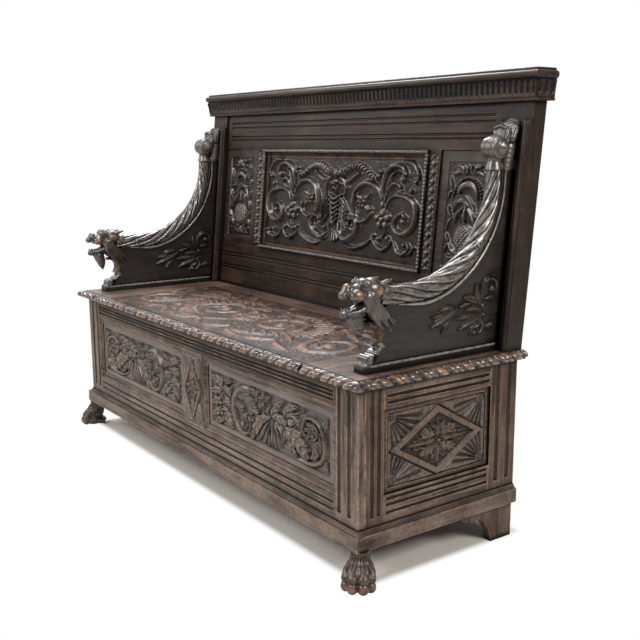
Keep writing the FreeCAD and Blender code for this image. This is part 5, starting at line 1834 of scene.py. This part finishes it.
    def from_eye(self, place: Vector) -> float:
        """Distance of a point of the head from the middle of the nearer eye, in millimetres."""
        return (place - Vector((math.copysign(25.5, place.x), 34.5, 657.0))).length

    def comb(self, place: Vector) -> float:
        """Depth of the combed hair at a point of the head, and of the rings round the eyes.

        Args:
            place: Point from the arm's middle plane and the chest's front, in millimetres.

        Returns:
            Push along the normal in millimetres.
        """
        eye = self.from_eye(place)
        push = (2.4 * math.exp(-((eye - 13.5) / 2.4) ** 2) - 3.0 * math.exp(-((eye - 8.6) / 2.2) ** 2)
                - 1.6 * math.exp(-(eye / 2.4) ** 2))
        if place.z < 598 and place.y < 50:
            return push + 0.9 * math.sin(place.x * 1.05)
        behind = min(max((place.y - 50) / 16, 0.0), 1.0) * min(max((650 - place.z) / 14, 0.0), 1.0)
        flow = math.atan2(place.z - 700, place.y - 22)
        return push + behind * 0.8 * math.sin(96 * flow)

    def sprig(self) -> Relief:
        """Leafy sprig for the board's faces: u runs to the rear, v up.

        Returns:
            The carved field.
        """
        relief = Relief(240.0, 176.0, 1.5)
        shift = np.array(self.sprig_middle)
        for points, widths in (
            (((283, 572), (308, 575), (330, 582), (350, 584), (370, 577), (385, 566), (396, 548)),
             (4, 8, 10, 11, 9, 5)),
            (((394, 560), (383, 590), (386, 620), (407, 638), (434, 642)), (9, 10, 10, 9, 4)),
            (((386, 606), (396, 628), (414, 634), (430, 624), (430, 608), (417, 604)), (7, 9, 9, 8, 6)),
        ):
            relief.stroke(curve(np.array(points) - shift), widths, (5, 8, 8, 6), gap=3.0)
        for vein, width in (
            (((384, 578), (356, 592), (328, 598)), 20), (((382, 580), (370, 602), (368, 624)), 17),
            (((396, 588), (412, 590), (428, 586)), 14), (((398, 522), (410, 524), (420, 532)), 14),
        ):
            relief.leaf(np.array(vein) - shift, width, 7.0, 1, gap=3.0)
        for root, tips in (
            ((310, 572), (((284, 578), (254, 574)), ((282, 550), (262, 524)), ((272, 564), (230, 562)),
                          ((272, 554), (228, 540)))),
            ((397, 552), (((366, 567), (332, 568)), ((374, 530), (350, 508)), ((360, 553), (306, 551)),
                          ((362, 540), (312, 524)))),
        ):
            relief.blades(np.array(root) - shift, np.array(tips) - shift, 22, 8.0)
        relief.scroll([(44, -30), (50, -48), (38, -64), (22, -62)], (16, 15, 12, 8), 8.0)
        relief.boss((77.0, 36.0), 9.0, 9.0, 9.0)
        relief.finish(0.0, 0.12, 2.0, 19)
        return relief

    def toe(self) -> BMesh:
        """Reeded scroll and ledge at the front foot of the board.

        Returns:
            The closed mesh.
        """
        path = even(curve([(50, 463.5), (41, 465), (37.5, 472), (38.5, 479), (42.5, 484), (42.6, 489),
                           (44.5, 496), (49.5, 500.4), (55, 501.2), (61, 500), (65, 501.5), (66.5, 505),
                           (70, 508.5), (80, 512), (81, 515), (77, 520), (73, 524.5)]), 1.5)
        across = np.linspace(-1.0, 1.0, 81)[:, None]
        low = unit((504 - path[:, 1]) / 4)
        reed = np.abs(np.sin(math.pi * 2.5 * (across + 1.0))) ** 0.6 * unit((485 - path[:, 1]) / 4)
        rounding = 4.0 * unit((np.abs(across) - 0.82) / 0.18) ** 2
        places = np.stack(np.broadcast_arrays(self.centre + across * (13.5 + 4.0 * low),
                                              self.front + path[:, 0] + rounding - 2.6 * reed,
                                              path[:, 1] + 0.8 * reed), axis=-1) * MM
        # Painted shade in the reeds' grooves: low relief values there colour them darker.
        bm = sheet(places, np.where(path[:, 1] < 485, 0.15 + 0.7 * reed, 0.75))
        close_back(bm, Vector((0, 12, 0)) * MM)
        return bm

    def throat(self) -> BMesh:
        """Worn hollow edge of the board under the lion's chin.

        Returns:
            The closed mesh.
        """
        path = even(curve([(72.6, 524.5), (77.5, 531), (80.4, 540), (80.3, 546), (77.7, 554), (73, 560),
                           (65, 565)]), 1.6)
        across = np.linspace(-1.0, 1.0, 31)[:, None]
        rounding = 3.0 * unit((np.abs(across) - 0.75) / 0.25) ** 2
        places = np.stack(np.broadcast_arrays(self.centre + across * 13.2, self.front + path[:, 0] + rounding,
                                              path[:, 1] + 0.0 * across), axis=-1) * MM
        bm = sheet(places, np.full(places.shape[:2], 0.75))
        close_back(bm, Vector((0, 10, 0)) * MM)
        return bm

    def build(self) -> None:
        """Dresses both arms."""
        SHOP.pair("arm_spiral", self.neck(), CARVED_ARM, ("arm_neck",))
        SHOP.pair("arm_bead", self.border(), PAINTED_HIGHLIGHT_BEAD)
        SHOP.pair("arm_roll", self.roll(), LION)
        SHOP.pair("lion_mask", self.head(), LION, ("lion_head",))
        SHOP.pair("arm_toe", self.toe(), CARVED_ARM)
        SHOP.pair("arm_throat", self.throat(), THROAT)
        for name, way in (("outer", 1), ("inner", -1)):
            relief = self.sprig() if way > 0 else self.sprig().flipped()
            plane = Plane(self.world(*self.sprig_middle, way * (self.board_half - 0.2)), REAR * way, UP)
            SHOP.pair(f"sprig_{name}", cut_out(relief, plane, 7.5), SPRIG)


@dataclass
class PawFeet:
    """Front feet: hairy ankle, pads and four toes, turned out at the corners."""

    x: float = 727.0
    y: float = -247.0
    top: float = 83.0
    turn_deg: float = 45.0

    def foot(self) -> BMesh:
        """The right-hand foot.

        Returns:
            The closed mesh.
        """
        clay = Clay(Vector((0, 0, 0)))
        clay.limb([(0, 0, 78), (0, -1, 64), (0, -6, 46), (0, -14, 30)], (22, 23, 28, 31))
        clay.mass((0, -14, 16), (34, 32, 20))
        clay.mass((0, 10, 13), (24, 18, 13))
        toes = ((-26.5, -28, 0.95), (-11.5, -39, 1.05), (11.5, -39, 1.05), (26.5, -28, 0.95))
        for x, y, size in toes:
            clay.limb([(x * 0.7, y + 28, 50), (x * 0.92, y + 11, 39), (x, y + 2, 29)],
                      (11 * size, 13 * size, 12.5 * size))
            clay.mass((x * 1.02, y - 3, 13), (12.5 * size, 13 * size, 13.5 * size))
        skin = clay.melt(1.8, self.fur)
        for vert in skin.verts:
            vert.co.z = min(max(vert.co.z, 0.4 * MM), self.top * MM)
        for x, y, _ in toes:
            rub(skin, Vector((x, y - 8, 33)) * MM, 12, 0.3)
            rub(skin, Vector((x, y - 14, 11)) * MM, 15, 0.7)
        spin = Matrix.Rotation(math.radians(self.turn_deg), 4, "Z")
        place = Matrix.Translation(Vector((self.x, self.y, 0)) * MM)
        bmesh.ops.transform(skin, matrix=place @ spin, verts=skin.verts)
        return skin

    def fur(self, place: Vector) -> float:
        """Depth of the hair on the ankle at a point of the foot, in millimetres."""
        high = min(max((place.z - 38) / 10, 0.0), 1.0)
        return high * (1.1 * math.sin(19 * math.atan2(place.y + 4, place.x)) - 0.4)

    def build(self) -> None:
        """Replaces the plain front feet."""
        SHOP.pair("paw", self.foot(), PAW, ("paw_foot",))


class Boards:
    """Finishes of the plain boards that keep their CAD shape."""

    RULES: tuple[tuple[tuple[str, ...], OakFinish | IronFinish], ...] = (
        (("hinge_",), IRON),
        (("floor_boards", "chest_back", "lid_battens"), PLAIN),
        (("lid_board", "seat_rear"), SEAT),
        # Painted reflection: the seat's end boards take the lighter copy that stands for the sheen off their
        # tops.
        (("seat_end",), SEAT_SIDE_PAINTED_REFLECTION),
        (("front_stile", "front_muntin"), CHEST_UP),
        (("end_front_stile", "end_rear_stile", "bracket"), ENDS_UP),
        (("end_", "plinth_left", "plinth_right"), ENDS),
        # Painted shade: the front top rail takes the darker copy that stands for the shadow under the nosing.
        (("front_top_rail",), CHEST_TOP_PAINTED_SHADE),
        (("front_", "plinth_front"), CHEST),
        (("back_stile", "back_muntin", "back_side"), BACK_UP),
        (("back_", "cornice"), BACK),
        (("arm_",), ARM),
        (("",), CHEST),
    )

    def build(self) -> None:
        """Gives each CAD node its finish."""
        for name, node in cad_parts.items():
            finish = next(finish for starts, finish in self.RULES if name.startswith(starts))
            node.data.materials.clear()
            node.data.materials.append(SHOP.material(finish))


@dataclass
class Studio:
    """Camera, floor and lights."""

    eye: tuple[float, float, float] = (2.15956, -1.38467, 0.94645)
    azimuth_deg: float = 54.19
    down_deg: float = 11.09
    roll_deg: float = -0.265
    lens_mm: float = 51.06
    footprint: tuple[float, float, float] = (0.722, 0.228, 1.0)

    def camera(self) -> None:
        """Sets the camera at the photograph's viewpoint."""
        azimuth, down, roll = (math.radians(v) for v in (self.azimuth_deg, self.down_deg, self.roll_deg))
        level = math.cos(down)
        back = Vector((math.sin(azimuth) * level, -math.cos(azimuth) * level, math.sin(down)))
        right = Vector((math.cos(azimuth), math.sin(azimuth), 0))
        up = back.cross(right)
        across = right * math.cos(roll) + up * math.sin(roll)
        above = up * math.cos(roll) - right * math.sin(roll)
        data = bpy.data.cameras.new("camera")
        data.lens = self.lens_mm
        data.sensor_width = 36.0
        camera = put("camera", data)
        turn = Matrix((across, above, back)).transposed().to_4x4()
        camera.matrix_world = Matrix.Translation(self.eye) @ turn
        bpy.context.scene.camera = camera

    def floor(self) -> None:
        """Lays a plain pale floor that keeps the settle's shadow and turns white away from it."""
        bm = bmesh.new()
        bmesh.ops.create_grid(bm, x_segments=2, y_segments=2, size=9.0)
        mesh = as_mesh("floor", bm)
        material = bpy.data.materials.new("floor")
        material.use_nodes = True
        wiring = Wiring(material.node_tree)
        shader = wiring.nodes["Principled BSDF"]
        place = wiring.add("TexCoord", {}).outputs["Object"]
        patches = wiring.add("TexNoise", {"Scale": 3.0, "Vector": place}).outputs["Fac"]
        tint = wiring.mix(patches, (0.73, 0.705, 0.67), (0.79, 0.77, 0.74))
        wiring.feed(shader, {"Roughness": 0.9, "Specular IOR Level": 0.1, "Base Color": tint})
        outside = wiring.vector("ABSOLUTE", place).outputs["Vector"]
        outside = wiring.vector("SUBTRACT", outside, self.footprint).outputs["Vector"]
        outside = wiring.vector("MAXIMUM", outside).outputs["Vector"]
        away = wiring.ramp(wiring.vector("LENGTH", outside).outputs["Value"], 0.0, 0.03)
        seen = wiring.join("MULTIPLY", away, wiring.add("LightPath", {}).outputs["Is Camera Ray"])
        white = wiring.add("Emission", {"Strength": 1.0}).outputs["Emission"]
        blend = wiring.add("MixShader", {"Fac": seen, 1: shader.outputs["BSDF"], 2: white})
        wiring.feed(wiring.nodes["Material Output"], {"Surface": blend.outputs["Shader"]})
        mesh.materials.append(material)
        plane = put("floor", mesh)

    def light(self, name: str, place: Sequence[float], aim: Sequence[float], size: float, power: float,
              colour: Colour = (1.0, 1.0, 1.0)) -> None:
        """Adds a soft square lamp.

        Args:
            name: Its name.
            place: Where it hangs.
            aim: Where it points.
            size: Its side.
            power: Its power.
            colour: Its colour.
        """
        data = bpy.data.lights.new(name, "AREA")
        data.size = size
        data.energy = power
        data.color = colour
        lamp = put(name, data)
        lamp.location = place
        lamp.rotation_euler = (Vector(aim) - Vector(place)).to_track_quat("-Z", "Y").to_euler()

    def world(self) -> None:
        """White behind the settle, soft dim light from the rest of the studio."""
        world = bpy.data.worlds.new("studio")
        bpy.context.scene.world = world
        world.use_nodes = True
        wiring = Wiring(world.node_tree)
        white = wiring.nodes["Background"]
        wiring.feed(white, {"Color": (1.0, 1.0, 1.0, 1.0), "Strength": 1.0})
        soft = wiring.add("Background", {"Color": (1.0, 0.97, 0.94, 1.0), "Strength": 0.17})
        rays = wiring.add("LightPath", {}).outputs
        way = wiring.add("TexCoord", {}).outputs["Generated"]
        behind = wiring.vector("DOT_PRODUCT", way, (-0.81, 0.585, 0.0)).outputs["Value"]
        mirrored = wiring.join("MULTIPLY", rays["Is Glossy Ray"], wiring.ramp(behind, 0.3, 0.7))
        shown = wiring.join("MAXIMUM", rays["Is Camera Ray"], mirrored)
        shown = wiring.join("MAXIMUM", shown, rays["Is Transmission Ray"])
        pick = wiring.add("MixShader", {"Fac": shown, 1: soft.outputs["Background"],
                                        2: white.outputs["Background"]})
        wiring.feed(wiring.nodes["World Output"], {"Surface": pick.outputs["Shader"]})

    def build(self) -> None:
        """Sets up the whole studio."""
        self.camera()
        self.floor()
        self.world()
        self.light("rear_high", (-1.4, 0.8, 2.9), (0.1, -0.1, 0.5), 1.2, 75.0, (0.97, 0.98, 1.0))
        self.light("overhead", (0.4, -0.6, 3.0), (0.2, 0.0, 0.5), 1.1, 32.0, (0.98, 0.99, 1.0))
        self.light("front", (0.0, -2.9, 2.2), (0.2, 0.0, 0.4), 1.2, 70.0, (1.0, 0.96, 0.92))
        self.light("left", (-2.6, -1.7, 2.1), (0.0, 0.1, 0.7), 0.9, 19.0, (0.97, 0.98, 1.0))
        self.light("right_end", (3.2, 0.3, 2.2), (0.7, 0.0, 0.3), 1.0, 68.0, (1.0, 0.95, 0.9))
        bpy.context.scene.view_settings.view_transform = "Standard"


def main() -> None:
    """Builds the dressed settle and its studio."""
    logging.basicConfig(level=logging.INFO, format="%(relativeCreated)6d ms %(message)s")
    Studio().build()
    Boards().build()
    for part in (ChestFront(), ChestEnds(), Back(), Lid(), NulledEdge(), Cornice(), Arm(), PawFeet()):
        part.build()


if __name__ == "__main__":
    main()
